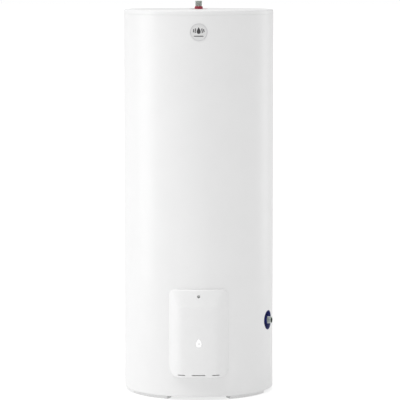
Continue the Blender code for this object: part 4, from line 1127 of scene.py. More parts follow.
def hood_grid(shape, inset, thinner):
    """Rows of points on the cover's skin, or on its inside where thinner is the wall."""
    scale = 1 - 2 * inset / (cover_high.z - cover_low.z)
    grid = []
    for z in COVER_ROWS:
        z = COVER_Z + (z - COVER_Z) * scale
        half = cover_half_width(z, inset)
        row = [(half * share, z) for share in COVER_SHARES]
        grid.append(
            [shape.verts.new((s, z, max(skin_height(s, z) - thinner, GAP + 0.05 * MM))) for s, z in row]
        )
    return grid


def border(grid):
    """The points round a grid's edge, in order."""
    across = grid[0] + [row[-1] for row in grid[1:-1]] + grid[-1][::-1]
    return across + [row[0] for row in reversed(grid[1:-1])]


shape = bmesh.new()
outside, inside_grid = hood_grid(shape, 0, 0), hood_grid(shape, WALL, WALL)
for grid in (outside, inside_grid):
    for lower, upper in zip(grid, grid[1:]):
        for index in range(len(lower) - 1):
            shape.faces.new((lower[index], lower[index + 1], upper[index + 1], upper[index]))
rims = [border(outside), border(inside_grid)]
backs = [[shape.verts.new((*vert.co.xy, GAP)) for vert in rim] for rim in rims]
bridge(shape, [rims[0], backs[0], backs[1], rims[1]])
cover = piece(
    "moulded_cover", wrap(shape), COVER_PLASTIC, body="cover", stands_for=["access_cover"], sharp=24
)
print("cover grid:", len(COVER_ROWS), "rows,", len(COVER_SHARES), "columns")

# %% [markdown]
# What the mould adds inside comes next: a tube that the screw stands in, and two pegs that hook into the
# casing. Then the openings are cut. The vents are lofted shapes that follow the skin, wide outside and
# narrow inside, because a mould needs such slopes and a finger must not reach in.

# %% Screw well and pegs
head_from, head_to = out_of("cover_screw")
HEAD_RISE = 2.1 * MM
WELL_FLOOR = head_to - HEAD_RISE - GAP
WELL_R, BOSS_R, THROUGH_R = 5.6 * MM, 8.5 * MM, 2.8 * MM
screw_place = (0, SCREW_AT.z)
well_top = CASING_R + skin_height(*screw_place)

boss = stack(circle(BOSS_R, 48, screw_place), [(0, WELL_FLOOR - 2 * MM), (0, well_top - 1 * MM)])
carve(cover, moved(boss, through_front), "UNION", 24)
for side in (-1, 1):
    outline = rectangle(8 * MM, 6 * MM, 1.2 * MM, (side * PEG_X, PEG_Z))
    peg = stack(outline, [(-1.2 * MM, 0.2775), (0, 0.2787), (0, 0.3095)])
    carve(cover, moved(peg, through_front), "UNION", 24)

well_layers = [
    (THROUGH_R, 0.27), (THROUGH_R, WELL_FLOOR), (WELL_R - 0.6 * MM, WELL_FLOOR),
    (WELL_R, WELL_FLOOR + 0.6 * MM),
]
well_layers += [
    (WELL_R, well_top - 1.4 * MM), (WELL_R + 0.35 * MM, well_top - 0.5 * MM),
    (WELL_R + 1.1 * MM, well_top + 0.1 * MM),
]
well = turn([(0, 0.27)] + well_layers + [(WELL_R + 1.1 * MM, 0.34), (0, 0.34)], 48)
carve(cover, moved(well, through_front @ shift(y=SCREW_AT.z)), sharp=24)
print("screw well is", round((well_top - WELL_FLOOR) * 1000, 1), "mm deep")


# %% Vents
VENT_Z, VENT_HEIGHT, VENT_FLARE = 0.100, 6.4 * MM, 2.1 * MM
for low, high in ((-0.0265, 0.0265), (0.049, 0.081), (-0.081, -0.049)):
    scale = CASING_R / (CASING_R + PROUD * 0.8)
    width, at_x = (high - low) * scale - 2 * VENT_FLARE, (low + high) / 2 * scale
    outline = refined(rectangle(width, VENT_HEIGHT - 2 * VENT_FLARE, 0.6 * MM, (at_x, VENT_Z)), 4 * MM)
    layers = [(0, -9), (0, -2.4), (0.35, -1.7), (0.9, -0.8), (2.1, 0.05), (2.1, 5)]
    vent = stack(outline, [(by * MM, height * MM) for by, height in layers])
    for vert in vent.verts:
        vert.co.z += skin_height(vert.co.x, vert.co.y)
    carve(cover, wrap(vent), sharp=24)
print("vents at", VENT_Z, "m")

# %% [markdown]
# The window is a drop-shaped opening with a soft edge. Its lens is a shallow dome of opal plastic, lit
# from behind by the lamp on the thermostat. A short grey mark on it is a painted reflection inside the lens.

# %% Drop window and lens
LENS_AT = middle("drop_lens")
lens_low, lens_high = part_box("drop_lens")
LENS_SLACK = 0.8 * MM
LENS_FIT = 0.5 * MM
DROP_WIDTH, DROP_HEIGHT = lens_high.x - lens_low.x + LENS_SLACK, lens_high.z - lens_low.z + LENS_SLACK
panel_out = CASING_R + PROUD

EDGE = 0.35 * MM  # how much wider the window is at the skin than inside

window = bmesh.new()
loops = []
for by, height in ((0, -20 * MM), (0, -0.5 * MM), (EDGE, 0.05 * MM), (EDGE, 10 * MM)):
    outline = drop_outline(DROP_WIDTH + 2 * by, DROP_HEIGHT + 2 * by)
    loops.append([window.verts.new((*point, panel_out + height)) for point in outline])
capped(window, loops)
carve(cover, moved(window, through_front @ shift(y=LENS_AT.z)), sharp=24)

lens_outline = drop_outline(DROP_WIDTH - LENS_FIT, DROP_HEIGHT - LENS_FIT)
LENS_BACK, LENS_RIM, LENS_CROWN = -3.6 * MM, -0.45 * MM, -0.1 * MM
shape = bmesh.new()
loops = [[shape.verts.new((*point, LENS_BACK)) for point in lens_outline]]
for share in (1.0, 0.96, 0.9, 0.8, 0.65, 0.5, 0.3, 0.1):
    height = LENS_CROWN + (LENS_RIM - LENS_CROWN) * share**3
    loops.append([shape.verts.new((point.x * share, point.y * share, height)) for point in lens_outline])
capped(shape, loops)
lens_place = front(0, LENS_AT.z, panel_out)
piece("lens_dome", shape, OPAL, lens_place, TO_FRONT, "cover", ["drop_lens"])
# This grey tick is a painted reflection inside the lens, laid on it as a thin slab.
tick = slab(
    rectangle(2.6 * MM, 9 * MM, 1.2 * MM, (1.2 * MM, -4 * MM)), LENS_CROWN - 0.5 * MM,
    LENS_CROWN + 0.08 * MM, 0.1 * MM,
)
piece("lens_painted_reflection", tick, LENS_REFLECTION_GREY, lens_place, TO_FRONT, "cover")
print(f"window {DROP_WIDTH * 1000:.0f} x {DROP_HEIGHT * 1000:.0f} mm at {LENS_AT.z:.3f} m")

# %% [markdown]
# ## Screws
#
# One helper makes every round-headed screw: a pan head that is slightly domed, a cross or a slot pressed
# into it, and a threaded shank. The cover's screw has a cross, and it turns on a body of its own.

# %% Screw helpers
def cross_outline(length, width):
    a, b = length / 2, width / 2
    return [
        Vector(p) for p in (
            (-b, -a), (b, -a), (b, -b), (a, -b), (a, b), (b, b), (b, a), (-b, a), (-b, b),
            (-a, b), (-a, -b), (-b, -b),
        )
    ]


def pan_head(radius, height, shank_radius, shank):
    """A screw whose own zero lies under its head."""
    profile = [(0, -shank, 0), (shank_radius * 0.7, -shank, 0)]
    turns = max(2, int((shank - 1.2 * MM) / (0.8 * MM)))
    for step in range(turns):
        at_z = -shank + 0.4 * MM + step * 0.8 * MM
        profile += [(shank_radius * 0.82, at_z, 0), (shank_radius, at_z + 0.4 * MM, 0)]
    profile += [(shank_radius * 0.82, -0.2 * MM, 0), (shank_radius * 0.82, 0, 0), (radius, 0, 0.2 * MM)]
    profile += [
        (radius, height * 0.75, radius * 0.3), (radius * 0.45, height * 0.99, radius * 0.2),
        (0, height, 0),
    ]
    return turn(soften(profile, 0, 4), 48, closed=False)


def screw(name, node, at, head, shank, recess, material, body="heater"):
    """A pan-head screw on the front. Head and shank are (radius, length), recess is "cross" or "slot"."""
    made = piece(name, pan_head(*head, *shank), material, at, TO_FRONT, body, [node])
    radius, height = head
    outline = cross_outline(1.15 * radius, 0.24 * radius)
    if recess == "slot":
        outline = rectangle(2.4 * radius, 0.28 * radius, 0)
    layers = [(-0.05 * radius, height * 0.35), (0, height * 1.4)]
    return carve(made, stack(outline, layers))


head_at = front(0, SCREW_AT.z, head_to - HEAD_RISE)
shank_length = head_to - HEAD_RISE - head_from
screw(
    "cover_screw_cross", "cover_screw", head_at, (4.8 * MM, HEAD_RISE), (2.6 * MM, shank_length),
    "cross", PLATED, "cover_screw_body",
)
print("cover screw is", round((head_to - head_from) * 1000, 1), "mm long")

# %% [markdown]
# ## Service recess
#
# Everything below shows once the cover is off. These pieces all face the front, so they are drawn face on
# in one shared sheet: x across, y up, and z out of the tank's axis. The recess itself is a thin moulded
# tray. Its floor lies flat, its front edge follows the round casing, and its corners are rounded, as any
# moulding's are. A round port in it leaves room for the flange.

# %% Liner
def face_on(name, shape, material, nodes=(), body="heater", sharp=38):
    """A piece drawn face on, in (across, up, out of the axis)."""
    return piece(name, moved(shape, through_front), material, body=body, stands_for=nodes, sharp=sharp)


def cut_face_on(obj, shape, sharp=38):
    return carve(obj, moved(shape, through_front), sharp=sharp)


LINER_WALL = 1.5 * MM
LINER_FLOOR = out_of("recess_liner")[0] + LINER_WALL
liner_skin = CASING_R - SHEET - 2 * GAP
liner_middle, liner_size = face_box("recess_liner")
liner_outline = refined(rectangle(*liner_size, 10 * MM, (0, liner_middle[1]), 6), 8 * MM)

shape = bmesh.new()
loops = []
for by, height in (
    (-3, -1.5), (-0.8, -0.7), (0, 2), (0, None), (-1.5, None), (-1.5, 5), (-2.6, 1.3), (-6, 0)
):
    loop = []
    for point in grown(liner_outline, by * MM):
        out = LINER_FLOOR + height * MM if height is not None else math.sqrt(liner_skin**2 - point.x**2)
        loop.append(shape.verts.new((*point, out)))
    loops.append(loop)
capped(shape, loops)
liner = face_on("recess_tray", shape, LINER_PLASTIC, ["recess_liner"])

FLANGE = middle("flange_plate")
FLANGE_R = (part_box("flange_plate")[1].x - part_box("flange_plate")[0].x) / 2
cut_face_on(liner, stack(circle(FLANGE_R + 1 * MM, 96, (0, FLANGE.z)), [(0, 0.24), (0, 0.262)]))
print("recess tray", [round(side, 3) for side in liner_size])

# %% [markdown]
# The flange closes the tank's neck: a stamped plate on a rubber gasket, held by six hexagon bolts with a
# washer face. A stamped ring stiffens the plate.

# %% Flange and bolts
PLATE_BACK, PLATE_FACE = out_of("flange_plate")
profile = [(0, PLATE_BACK, 0), (FLANGE_R, PLATE_BACK), (FLANGE_R, PLATE_FACE, 0.9 * MM)]
profile += [(48 * MM, PLATE_FACE), (46.5 * MM, PLATE_FACE - 0.7 * MM), (42.5 * MM, PLATE_FACE - 0.7 * MM)]
profile += [(41 * MM, PLATE_FACE), (0, PLATE_FACE, 0)]
plate = moved(turn(soften(profile, 0.5 * MM), 96, closed=False), shift(y=FLANGE.z))
face_on("flange_disc", plate, ZINC_SHEET, ["flange_plate"])


def hexagon(corner_radius):
    return circle(corner_radius, 6)


def hex_head(corner_radius, height, shank_radius, shank):
    """A hexagon bolt with a washer face, its own zero under the head."""
    washer = slab(circle(corner_radius * 1.12, 36), 0, 0.9 * MM, 0.2 * MM)
    chamfer = 0.12 * corner_radius
    head = stack(hexagon(corner_radius), [(0, 0.6 * MM), (0, height - chamfer), (-chamfer, height)])
    return joined(washer, head, slab(circle(shank_radius, 24), -shank, 0.1 * MM, 0.4 * MM))


for number in range(1, 7):
    node = f"flange_bolt_{number}"
    bolt_from, bolt_to = out_of(node)
    at = middle(node)
    base = bolt_to - 5.3 * MM
    bolt = hex_head(6.6 * MM, 5.3 * MM, 3.8 * MM, base - bolt_from)
    turned = Matrix.Rotation(0.35 * number, 4, "Z")
    face_on(f"hex_bolt_{number}", moved(bolt, shift(at.x, at.z, base), turned), PLATED, [node], sharp=28)
print("plate face is", round(PLATE_FACE, 4), "m out of the axis")

# %% [markdown]
# The element is dry: a row of ceramic beads in a steel sheath, with two spade tags at its end. Beside it
# sit the anode's stud with its nut and the earth screw.

# %% Element, anode nut, earth screw
ELEMENT = middle("element_sheath")
collar_out = PLATE_FACE + GAP
tip = out_of("element_sheath")[0]
bore = 20.5 * MM
profile = [(0, tip, 0), (0.022, tip, 6 * MM), (0.022, collar_out, 0), (0.0255, collar_out, 0)]
profile += [(0.0255, collar_out + 1.5 * MM, 0.6 * MM), (bore, collar_out + 1.5 * MM, 0.4 * MM)]
profile += [(bore, tip + 4 * MM, 0), (0, tip + 4 * MM, 0)]
sheath = moved(turn(soften(profile, 0), 72, closed=False), shift(y=ELEMENT.z))
face_on("element_tube", sheath, PLATED, ["element_sheath"])

BEADS = 6
core_top = collar_out + 8 * MM
pitch = (PLATE_FACE - 4 * MM - tip - 10 * MM) / BEADS
profile = [(0, tip + 10 * MM, 0)]
for bead in range(BEADS):
    low = tip + 10 * MM + bead * pitch
    profile += [
        (0.0195, low), (0.0195, low + pitch - 3 * MM), (0.018, low + pitch - 3 * MM),
        (0.018, low + pitch),
    ]
profile += [
    (0.0195, PLATE_FACE), (0.0195, core_top, 1.2 * MM), (0.0135, core_top),
    (0.0135, core_top - 1.5 * MM), (0, core_top - 1.5 * MM, 0),
]
core = moved(turn(soften(profile, 0.5 * MM, 3), 64, closed=False), shift(y=ELEMENT.z))
face_on("ceramic_core", core, CERAMIC, ["ceramic_element"])

TAG_XS = (-8.5 * MM, 8.5 * MM)
for side, x in zip(("left", "right"), TAG_XS):
    outline = soften(
        [(-3.2 * MM, -4 * MM, 0), (3.2 * MM, -4 * MM, 0), (3.2 * MM, 8.5 * MM), (-3.2 * MM, 8.5 * MM)],
        1.2 * MM,
    )
    blade = slab(outline, -0.4 * MM, 0.4 * MM, 0.15 * MM)
    stood = moved(blade, shift(x, ELEMENT.z, core_top + 1.2 * MM), Matrix.Rotation(math.pi / 2, 4, "X"))
    face_on(f"element_tag_{side}", stood, PLATED)

nut_from, nut_to = out_of("anode_nut")
NUT_AT = middle("anode_nut")
nut = moved(
    hex_head(7.8 * MM / 1.12, nut_to - nut_from, 4.2 * MM, 0.3 * MM),
    shift(NUT_AT.x, NUT_AT.z, nut_from),
)
face_on("anode_hex_nut", nut, PLATED, ["anode_nut"], sharp=28)

earth_from, earth_to = out_of("earth_screw")
EARTH_AT = middle("earth_screw")
earth_head = 2.6 * MM
screw(
    "earth_screw_slotted", "earth_screw", front(EARTH_AT.x, EARTH_AT.z, earth_to - earth_head),
    (5.0 * MM, earth_head), (2.0 * MM, earth_to - earth_head - earth_from), "slot", BRASS,
)
print("element axis at", round(ELEMENT.z, 4), "m")

# %% [markdown]
# ## Thermostat
#
# A black moulded box. Its face is stepped, a white scale is printed round the dial, and the dial has a
# fluted edge for the fingertips and a red pointer laid into a groove. The cut-out's red button and the
# lamp sit to its right. Dial and button ride on bodies of their own.

# %% Thermostat
BOX_LOW, BOX_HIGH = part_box("thermostat_body")
BOX_BACK, BOX_FACE = out_of("thermostat_body")
box_middle, box_size = face_box("thermostat_body")
STEP_IN, STEP_DOWN = 2.2 * MM, 1.6 * MM
lower = [
    (-0.8 * MM, BOX_BACK), (0, BOX_BACK + 0.8 * MM), (0, BOX_FACE - STEP_DOWN - 0.6 * MM),
    (-0.6 * MM, BOX_FACE - STEP_DOWN),
]
upper = [(-STEP_IN, BOX_FACE - STEP_DOWN), (-STEP_IN, BOX_FACE - 0.5 * MM), (-STEP_IN - 0.5 * MM, BOX_FACE)]
case = face_on(
    "thermostat_case", stack(rectangle(*box_size, 2 * MM, box_middle), lower + upper),
    BLACK_MOULDING, ["thermostat_body"],
)
DIAL_AT, BUTTON_AT, LAMP_AT = (middle(node) for node in ("thermostat_dial", "reset_button", "indicator_lamp"))
for at, radius in ((DIAL_AT, 4.7 * MM), (BUTTON_AT, 3.8 * MM)):
    cut_face_on(
        case, stack(circle(radius, 40, (at.x, at.z)), [(0, BOX_FACE - 6 * MM), (0, BOX_FACE + 10 * MM)])
    )

scale_marks = []
for step in range(11):
    angle = math.radians(-135 + 27 * step)
    long = 2.4 * MM if step % 5 == 0 else 1.5 * MM
    tick = slab(
        rectangle(0.5 * MM, long, 0.1 * MM, (0, 12.1 * MM + long / 2), 2), BOX_FACE - 0.1 * MM,
        BOX_FACE + 0.08 * MM, 0.02 * MM,
    )
    scale_marks.append(moved(tick, shift(DIAL_AT.x, DIAL_AT.z), Matrix.Rotation(-angle, 4, "Z")))
face_on("thermostat_scale", joined(*scale_marks), BADGE_WHITE)

FLUTES = 30
DIAL_R, DIAL_HEIGHT = 11 * MM, 5.0 * MM
rim = [2 * math.pi * step / (FLUTES * 6) for step in range(FLUTES * 6)]
fluted = [
    Vector((math.cos(a), math.sin(a))) * (
        DIAL_R - 0.35 * MM * abs(math.sin(a * FLUTES / 2)) ** 1.5
    ) for a in rim
]
layers = [
    (-0.3, GAP / MM), (0, 0.6), (0, 3.4), (-0.3, 4.5), (-0.9, 4.95), (-1.6, 5.0), (-2.2, 4.5),
    (-3.0, 4.4),
]
knob = stack(fluted, [(by * MM, height * MM) for by, height in layers])
knob = joined(knob, slab(circle(4.3 * MM, 40), -5 * MM, 0.5 * MM, 0.3 * MM))
grip = slab(rectangle(6 * MM, 15.5 * MM, 2.4 * MM, steps=6), 3.9 * MM, DIAL_HEIGHT, 0.5 * MM)
dial_place = front(DIAL_AT.x, DIAL_AT.z, BOX_FACE)
piece(
    "dial_knob", joined(knob, grip), KNOB_WHITE, dial_place, TO_FRONT, "dial",
    ["thermostat_dial"], sharp=30,
)
pointer = slab(
    rectangle(1.1 * MM, 6 * MM, 0.4 * MM, (0, 4.2 * MM)), DIAL_HEIGHT - 0.3 * MM,
    DIAL_HEIGHT + 0.1 * MM, 0.08 * MM,
)
piece("dial_pointer", pointer, RED, dial_place, TO_FRONT, "dial")

profile = [
    (0, -4 * MM, 0), (3.4 * MM, -4 * MM, 0.3 * MM), (3.4 * MM, 2.5 * MM, 0.8 * MM),
    (1.8 * MM, 2.5 * MM, 0.6 * MM), (0, 2.2 * MM, 0),
]
button = turn(soften(profile, 0), 48, closed=False)
piece(
    "reset_push", button, RED, front(BUTTON_AT.x, BUTTON_AT.z, BOX_FACE), TO_FRONT, "reset",
    ["reset_button"],
)
profile = [
    (0, GAP, 0), (2.9 * MM, GAP, 0), (2.9 * MM, 1.2 * MM, 0.3 * MM),
    (2.3 * MM, 1.2 * MM, 0.2 * MM), (2.3 * MM, 5.4 * MM, 2.2 * MM), (0, 5.4 * MM, 0),
]
piece(
    "lamp_dome", turn(soften(profile, 0, 6), 40, closed=False), OPAL,
    front(LAMP_AT.x, LAMP_AT.z, BOX_FACE), TO_FRONT, stands_for=["indicator_lamp"],
)
print("thermostat face is", round(BOX_FACE, 4), "m out of the axis")

# %% [markdown]
# ## Bracket, terminals and clip
#
# The bracket is one strip of galvanised sheet, bent four times into a hat. A bent sheet has round bends,
# so its section is softened before it is pushed sideways into a strip. The cover's clip is made alike.

# %% Bent sheet pieces
SIDEWAYS = Matrix(((0, 0, 1, 0), (0, 1, 0, 0), (1, 0, 0, 0), (0, 0, 0, 1)))


def bent_strip(section, bend, width):
    """A strip of sheet, from its section in (out of the axis, up)."""
    return moved(slab(soften(section, bend, 5), -width / 2, width / 2, 0.2 * MM, 2), SIDEWAYS)


bracket_low, bracket_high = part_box("control_bracket")
BRACKET_BACK, BRACKET_FACE = out_of("control_bracket")
TAB, STEEL = 12 * MM, 1.2 * MM
low, high = bracket_low.z + TAB, bracket_high.z - TAB
section = [
    (BRACKET_BACK, low - TAB, 0), (BRACKET_BACK + STEEL, low - TAB, 0),
    (BRACKET_BACK + STEEL, low - STEEL, 1 * MM),
]
section += [
    (BRACKET_FACE, low - STEEL, 2 * MM), (BRACKET_FACE, high + STEEL, 2 * MM),
    (BRACKET_BACK + STEEL, high + STEEL, 1 * MM),
]
section += [
    (BRACKET_BACK + STEEL, high + TAB, 0), (BRACKET_BACK, high + TAB, 0), (BRACKET_BACK, high, 2 * MM)
]
section += [
    (BRACKET_FACE - STEEL, high, 1 * MM), (BRACKET_FACE - STEEL, low, 1 * MM),
    (BRACKET_BACK, low, 2 * MM),
]
face_on(
    "hat_bracket", bent_strip(section, 1 * MM, bracket_high.x - bracket_low.x), ZINC_SHEET,
    ["control_bracket"],
)
for number in (1, 2):
    node = f"bracket_screw_{number}"
    at, (screw_from, screw_to) = middle(node), out_of(node)
    place = front(at.x, at.z, screw_to - 2.2 * MM)
    screw(
        f"bracket_fixing_{number}", node, place, (3.6 * MM, 2.2 * MM),
        (1.8 * MM, screw_to - 2.2 * MM - screw_from), "cross", PLATED,
    )

CLIP_BACK, CLIP_FACE = out_of("cover_clip")
SPRING = 0.8 * MM
low, high = clip_low.z, clip_high.z
section = [
    (CLIP_FACE, high, 0.3 * MM), (CLIP_FACE - SPRING, high, 0.3 * MM),
    (CLIP_FACE - SPRING, low + SPRING, 0.4 * MM),
]
section += [
    (CLIP_BACK + SPRING, low + SPRING, 0.4 * MM), (CLIP_BACK + SPRING, high, 0.3 * MM),
    (CLIP_BACK, high, 0.3 * MM),
]
section += [(CLIP_BACK, low, 0.8 * MM), (CLIP_FACE, low, 0.8 * MM)]
clip = face_on("spring_clip", bent_strip(section, 0, clip_high.x - clip_low.x), PLATED, ["cover_clip"])
cut_face_on(clip, stack(circle(THROUGH_R, 32, (0, SCREW_AT.z)), [(0, 0.27), (0, 0.30)]))
print("bracket face is", round(BRACKET_FACE, 4), "m out of the axis")

# %% [markdown]
# The terminal block has three round wells for the screws, three mouths for the leads and low walls that
# part them.

# %% Terminal block
BLOCK_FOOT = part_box("terminal_block")[0].z
BLOCK_BACK, BLOCK_FACE = out_of("terminal_block")
block_middle, block_size = face_box("terminal_block")
block = slab(rectangle(*block_size, 1.5 * MM, block_middle), BLOCK_BACK, BLOCK_FACE, 0.6 * MM)
block = face_on("terminal_housing", block, KNOB_WHITE, ["terminal_block"], sharp=30)
terminals = [middle(f"terminal_screw_{number}") for number in (1, 2, 3)]
for at in terminals:
    well = stack(
        circle(4.2 * MM, 40, (at.x, at.z)),
        [(0, BLOCK_BACK + 10.5 * MM), (0, BLOCK_FACE - 0.5 * MM), (0.5 * MM, BLOCK_FACE + 0.1 * MM)],
    )
    cut_face_on(block, well, 30)
    mouth = stack(
        rectangle(6 * MM, 14 * MM, 1 * MM, (at.x, BLOCK_FOOT + 1 * MM)),
        [(0, BLOCK_BACK + 4 * MM), (0, BLOCK_BACK + 10 * MM)],
    )
    cut_face_on(block, mouth, 30)
for x in ((terminals[0].x + terminals[1].x) / 2, (terminals[1].x + terminals[2].x) / 2):
    groove = slab(
        rectangle(1.6 * MM, 40 * MM, 0.4 * MM, (x, block_middle[1])), BLOCK_FACE - 3 * MM,
        BLOCK_FACE + 3 * MM, 0.2 * MM,
    )
    cut_face_on(block, groove, 30)
for number, at in enumerate(terminals, 1):
    screw_from, screw_to = out_of(f"terminal_screw_{number}")
    place = front(at.x, at.z, screw_to - 2.5 * MM)
    screw(
        f"terminal_fixing_{number}", f"terminal_screw_{number}", place, (3.6 * MM, 2.5 * MM),
        (3.0 * MM, screw_to - 2.5 * MM - screw_from), "slot", BRASS,
    )
print("terminals:", len(terminals))

# %% [markdown]
# ## Circuit board
#
# The board carries a relay, a small transformer, a filter block and two capacitors, each a separate piece
# with a finish of its own, on the places where the frame has their plain blocks.

# %% Circuit board
board_middle, board_size = face_box("circuit_board")
BOARD_THICK = 1.6 * MM
BOARD_FACE = BRACKET_FACE + 5.6 * MM
sheet = slab(rectangle(*board_size, 1.5 * MM, board_middle), BOARD_FACE - BOARD_THICK, BOARD_FACE, 0.15 * MM)
posts = [
    slab(
        circle(2.5 * MM, 24, (x, z)), BRACKET_FACE + GAP, BOARD_FACE - BOARD_THICK + 0.1 * MM, 0.2 * MM
    ) for x in (-0.052, 0.0) for z in (0.316, 0.364)
]
face_on("printed_board", joined(sheet, *posts), BOARD, ["circuit_board"])


def fitted(name, x, z, height, material, edge=0.6, lift=0.0):
    """A box-shaped component between two (low, high) pairs in mm."""
    outline = rectangle(
        (x[1] - x[0]) * MM, (z[1] - z[0]) * MM, edge * MM,
        ((x[0] + x[1]) / 2 * MM, (z[0] + z[1]) / 2 * MM),
    )
    return face_on(
        name, slab(outline, BOARD_FACE + lift * MM, BOARD_FACE + height * MM, edge * 0.6 * MM),
        material, sharp=30,
    )


fitted("relay", (-50, -34), (320, 336), 12.2, RELAY_BLUE)
fitted("transformer_core", (-48, -24), (344.5, 355.5), 7.2, BLACK_MOULDING, 0.5)
fitted("transformer_winding", (-43, -29), (342, 358), 8.2, WINDING, 1.5)
fitted("filter_block", (-28, -18), (322, 332), 6.2, RED, 1.0)
fitted("chip", (-20, -14), (338, 345), 1.6, BLACK_MOULDING, 0.3)
for number, (x, z, radius, height) in enumerate(((-12, 352, 4.5, 11.2), (-7, 328, 3.5, 9.2)), 1):
    profile = [
        (0, 0, 0), (radius, 0, 0.3), (radius, 1.6, 0.2), (radius - 0.3, 2.0, 0.2),
        (radius, 2.4, 0.2), (radius, height, 0.7),
    ]
    profile += [(radius - 1.0, height, 0.2), (radius - 1.0, height - 0.25, 0.1), (0, height - 0.25, 0)]
    can = turn([point * MM for point in soften(profile, 0.1)], 48, closed=False)
    face_on(f"capacitor_{number}", moved(can, shift(x * MM, z * MM, BOARD_FACE)), BLACK_MOULDING)
    lid = moved(
        slab(circle((radius - 1.1) * MM, 32), 0, 0.1 * MM, 0.02 * MM),
        shift(x * MM, z * MM, BOARD_FACE + (height - 0.25) * MM),
    )
    face_on(f"capacitor_lid_{number}", lid, PLATED)
LEG_BENDS = ((-3.4, -0.5), (-3.3, 1.6), (-2.6, 2), (2.6, 2), (3.3, 1.6), (3.4, -0.5))
for number, (x, z) in enumerate(((-2, 340), (-2, 345), (-2, 350), (-24, 316), (-14, 318)), 1):
    route = [Vector((x + across, z, out)) * MM for across, out in LEG_BENDS]
    legs = moved(tube(route, 0.3 * MM, 8), shift(z=BOARD_FACE))
    body = slab(circle(1.1 * MM, 20), -2.2 * MM, 2.2 * MM, 0.4 * MM)
    body = moved(body, shift(x * MM, z * MM, BOARD_FACE + 2 * MM), Matrix.Rotation(math.pi / 2, 4, "Y"))
    face_on(f"resistor_legs_{number}", legs, PLATED)
    face_on(f"resistor_{number}", body, CERAMIC)
print("board face is", round(BOARD_FACE, 4), "m out of the axis")

# %% [markdown]
# ## Leads
#
# Each lead is a smooth tube through a few places: out of a terminal, round in a loose bend, and straight
# into its tag. A short sleeve covers the crimped end. The earth lead is green with yellow stripes, which
# are made by giving some of the tube's faces a second material.

# %% Leads
LEAD_R, LEAD_SIDES = 1.4 * MM, 18
entry = BRACKET_FACE + GAP + 7 * MM
case_middle = BOX_BACK + 12 * MM
case_top, case_bottom = BOX_HIGH.z + 0.4 * MM, BOX_LOW.z - 0.4 * MM
tag_out = collar_out + 19 * MM


def from_terminal(number):
    """The first two places of a lead, straight down out of its terminal."""
    return [(terminals[number].x, z, entry) for z in (0.319, 0.309)]


def lead(name, node, material, stops, sleeve_at=None):
    """A lead through (across, up, out) places, with a sleeve on its last bit."""
    stops = [Vector(stop) for stop in stops]
    obj = face_on(name, tube(route_through(stops), LEAD_R, LEAD_SIDES), material, [node])
    if sleeve_at is not None:
        start, end = stops[sleeve_at], stops[sleeve_at + 1 if sleeve_at == 0 else sleeve_at - 1]
        way = (end - start).normalized()
        sleeve = tube([start + way * step * MM for step in (0.2, 0.8, 5.5, 7, 8)], LEAD_R * 1.75, LEAD_SIDES)
        face_on(f"{name}_sleeve", sleeve, material)
    return obj


lead(
    "live_supply", "live_supply_wire", LIVE,
    [
        *from_terminal(0), (0.011, 0.296, 0.2850), (-0.0035, 0.281, 0.2875),
        (-0.004, case_top + 4 * MM, case_middle), (-0.004, case_top, case_middle),
    ],
    -1,
)
lead(
    "neutral_supply", "neutral_supply_wire", NEUTRAL,
    [
        *from_terminal(1), (0.027, 0.294, 0.2870), (0.0120, 0.281, 0.2890),
        (0.009, case_top + 4 * MM, case_middle), (0.009, case_top, case_middle),
    ],
    -1,
)
lead(
    "live_element", "live_element_wire", LIVE,
    [
        (-0.030, case_bottom, case_middle), (-0.030, case_bottom - 4 * MM, case_middle),
        (-0.025, 0.213, 0.2970), (-0.012, ELEMENT.z, 0.3010),
        (TAG_XS[0], ELEMENT.z, tag_out + 3 * MM), (TAG_XS[0], ELEMENT.z, tag_out),
    ],
    0,
)
lead(
    "neutral_element", "neutral_element_wire", NEUTRAL,
    [
        (0.012, case_bottom, case_middle), (0.012, case_bottom - 4 * MM, case_middle),
        (0.018, 0.215, 0.2960), (0.013, ELEMENT.z, 0.3010),
        (TAG_XS[1], ELEMENT.z, tag_out + 3 * MM), (TAG_XS[1], ELEMENT.z, tag_out),
    ],
    0,
)
earth = lead(
    "earth_lead", "earth_wire", EARTH_GREEN,
    [
        *from_terminal(2), (0.0490, 0.288, 0.2870), (0.0445, 0.258, 0.2880),
        (0.0425, 0.232, 0.2840), (0.0417, 0.2185, PLATE_FACE + 2.0 * MM),
        (0.0417, 0.2090, PLATE_FACE + 1.8 * MM),
    ],
)
earth.data.materials.append(EARTH_YELLOW)
for face in earth.data.polygons:
    if face.index % LEAD_SIDES in (0, 1, 2, 9, 10, 11):
        face.material_index = 1
ring = slab(
    circle(4.6 * MM, 32, (EARTH_AT.x, EARTH_AT.z)), PLATE_FACE + 0.1 * MM, PLATE_FACE + 1.1 * MM,
    0.3 * MM,
)
face_on("earth_ring_tag", ring, PLATED)

GROOVE_Z = OPENING_LOW_Z
grommet_middle, grommet_size = face_box("cable_grommet")
GROMMET_BACK, GROMMET_FACE = out_of("cable_grommet")
grommet = slab(
    rectangle(*grommet_size, 6 * MM, (0, grommet_middle[1]), 6), GROMMET_BACK, GROMMET_FACE, 2.5 * MM, 4
)
grommet = face_on("rubber_grommet", grommet, RUBBER, ["cable_grommet"])
groove = turn(
    [
        Vector(point) for point in (
            (CASING_R - SHEET - GAP, 0.10), (CASING_R + GAP, 0.10),
            (CASING_R + GAP, GROOVE_Z + GAP), (CASING_R - SHEET - GAP, GROOVE_Z + GAP),
        )
    ],
    CASING_STEPS,
)
carve(grommet, moved(groove, on_axis))
MOUTH_SECTION = ((0, 0.27), (4.5, 0.27), (4.5, 0.2925), (5.6, 0.2965), (5.6, 0.31), (0, 0.31))
mouth = turn([Vector((radius * MM, out)) for radius, out in MOUTH_SECTION], 40, closed=False)
cut_face_on(grommet, moved(mouth, shift(y=GROOVE_Z + 8 * MM)))
print("leads and grommet are in place")

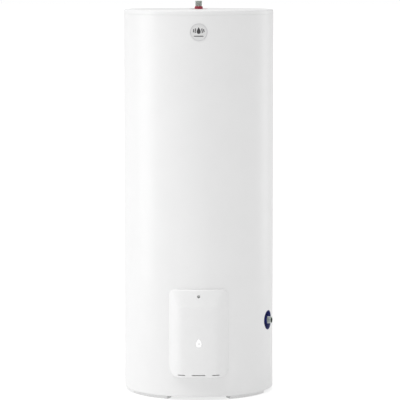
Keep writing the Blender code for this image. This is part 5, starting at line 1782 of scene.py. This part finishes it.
# %% [markdown]
# ## Parts kept from the frame
#
# The tank, its foam and what lies inside them need no finer shape, because nothing shows them. They keep
# the frame's own mesh and only get a real finish.

# %% Finishes for the kept parts
KEPT = {
    "base_pan": ZINC_SHEET,
    "support_skirt": TANK_STEEL,
    "tank_vessel": TANK_STEEL,
    "insulation_foam": FOAM,
    "bottom_insulation_pad": FOAM,
    "inlet_diffuser": LINER_PLASTIC,
    "anode_rod": ANODE,
    "probe_pocket": PLATED,
    "thermostat_probe": BRASS,
    "flange_gasket": RUBBER,
}
KEPT.update({f"foot_bolt_{number}": PLATED for number in (1, 2, 3, 4)})
for node, material in KEPT.items():
    for material_slot in frame["nodes"][node].material_slots:
        material_slot.material = material
still_plain = [node for node, obj in frame["nodes"].items() if not obj.hide_render and node not in KEPT]
print("kept parts:", len(KEPT), "still plain:", still_plain)

# %% [markdown]
# ## Floor
#
# The heater stands on a very wide pale floor that meets the white surround far away. For the camera the
# floor glows, so that it stays as pale as the surround and only the soft contact shadow shows. On the
# heater it throws a weaker glow, about what a pale floor sends back, so undersides are only a bit darker.

# %% Floor
FLOOR_SIDE = 160.0
FLOOR_GLOW = 0.70
FLOOR_FILL = 0.45

floor_finish = bpy.data.materials.new("pale_floor")
floor_finish.use_nodes = True
tree = floor_finish.node_tree
shader = tree.nodes["Principled BSDF"]
shader.inputs["Emission Color"].default_value = (1, 1, 1, 1)
glow = ramp(tree, add(tree, "LightPath").outputs["Is Camera Ray"], 0.0, 1.0, FLOOR_FILL, FLOOR_GLOW)
feed(tree, shader.inputs["Emission Strength"], glow)
floor_place = add(tree, "TexCoord").outputs["Object"]
floor_mottle = ramp(tree, cloud(tree, floor_place, 0.4, 4.0), 0.3, 0.7)
feed(tree, shader.inputs["Base Color"], mixed(tree, floor_mottle, (0.42, 0.42, 0.42), (0.40, 0.40, 0.40)))
feed(tree, shader.inputs["Roughness"], ramp(tree, floor_mottle, 0.0, 1.0, 0.75, 0.9))

shape = bmesh.new()
bmesh.ops.create_grid(shape, x_segments=16, y_segments=16, size=FLOOR_SIDE / 2)
floor_mesh = bpy.data.meshes.new("studio_floor")
shape.to_mesh(floor_mesh)
shape.free()
floor_mesh.materials.append(floor_finish)
floor = bpy.data.objects.new("studio_floor", floor_mesh)
bpy.context.scene.collection.objects.link(floor)
floor.location.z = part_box("foot_front_right")[0].z - 0.2 * MM
print("pieces made:", len(made_pieces))
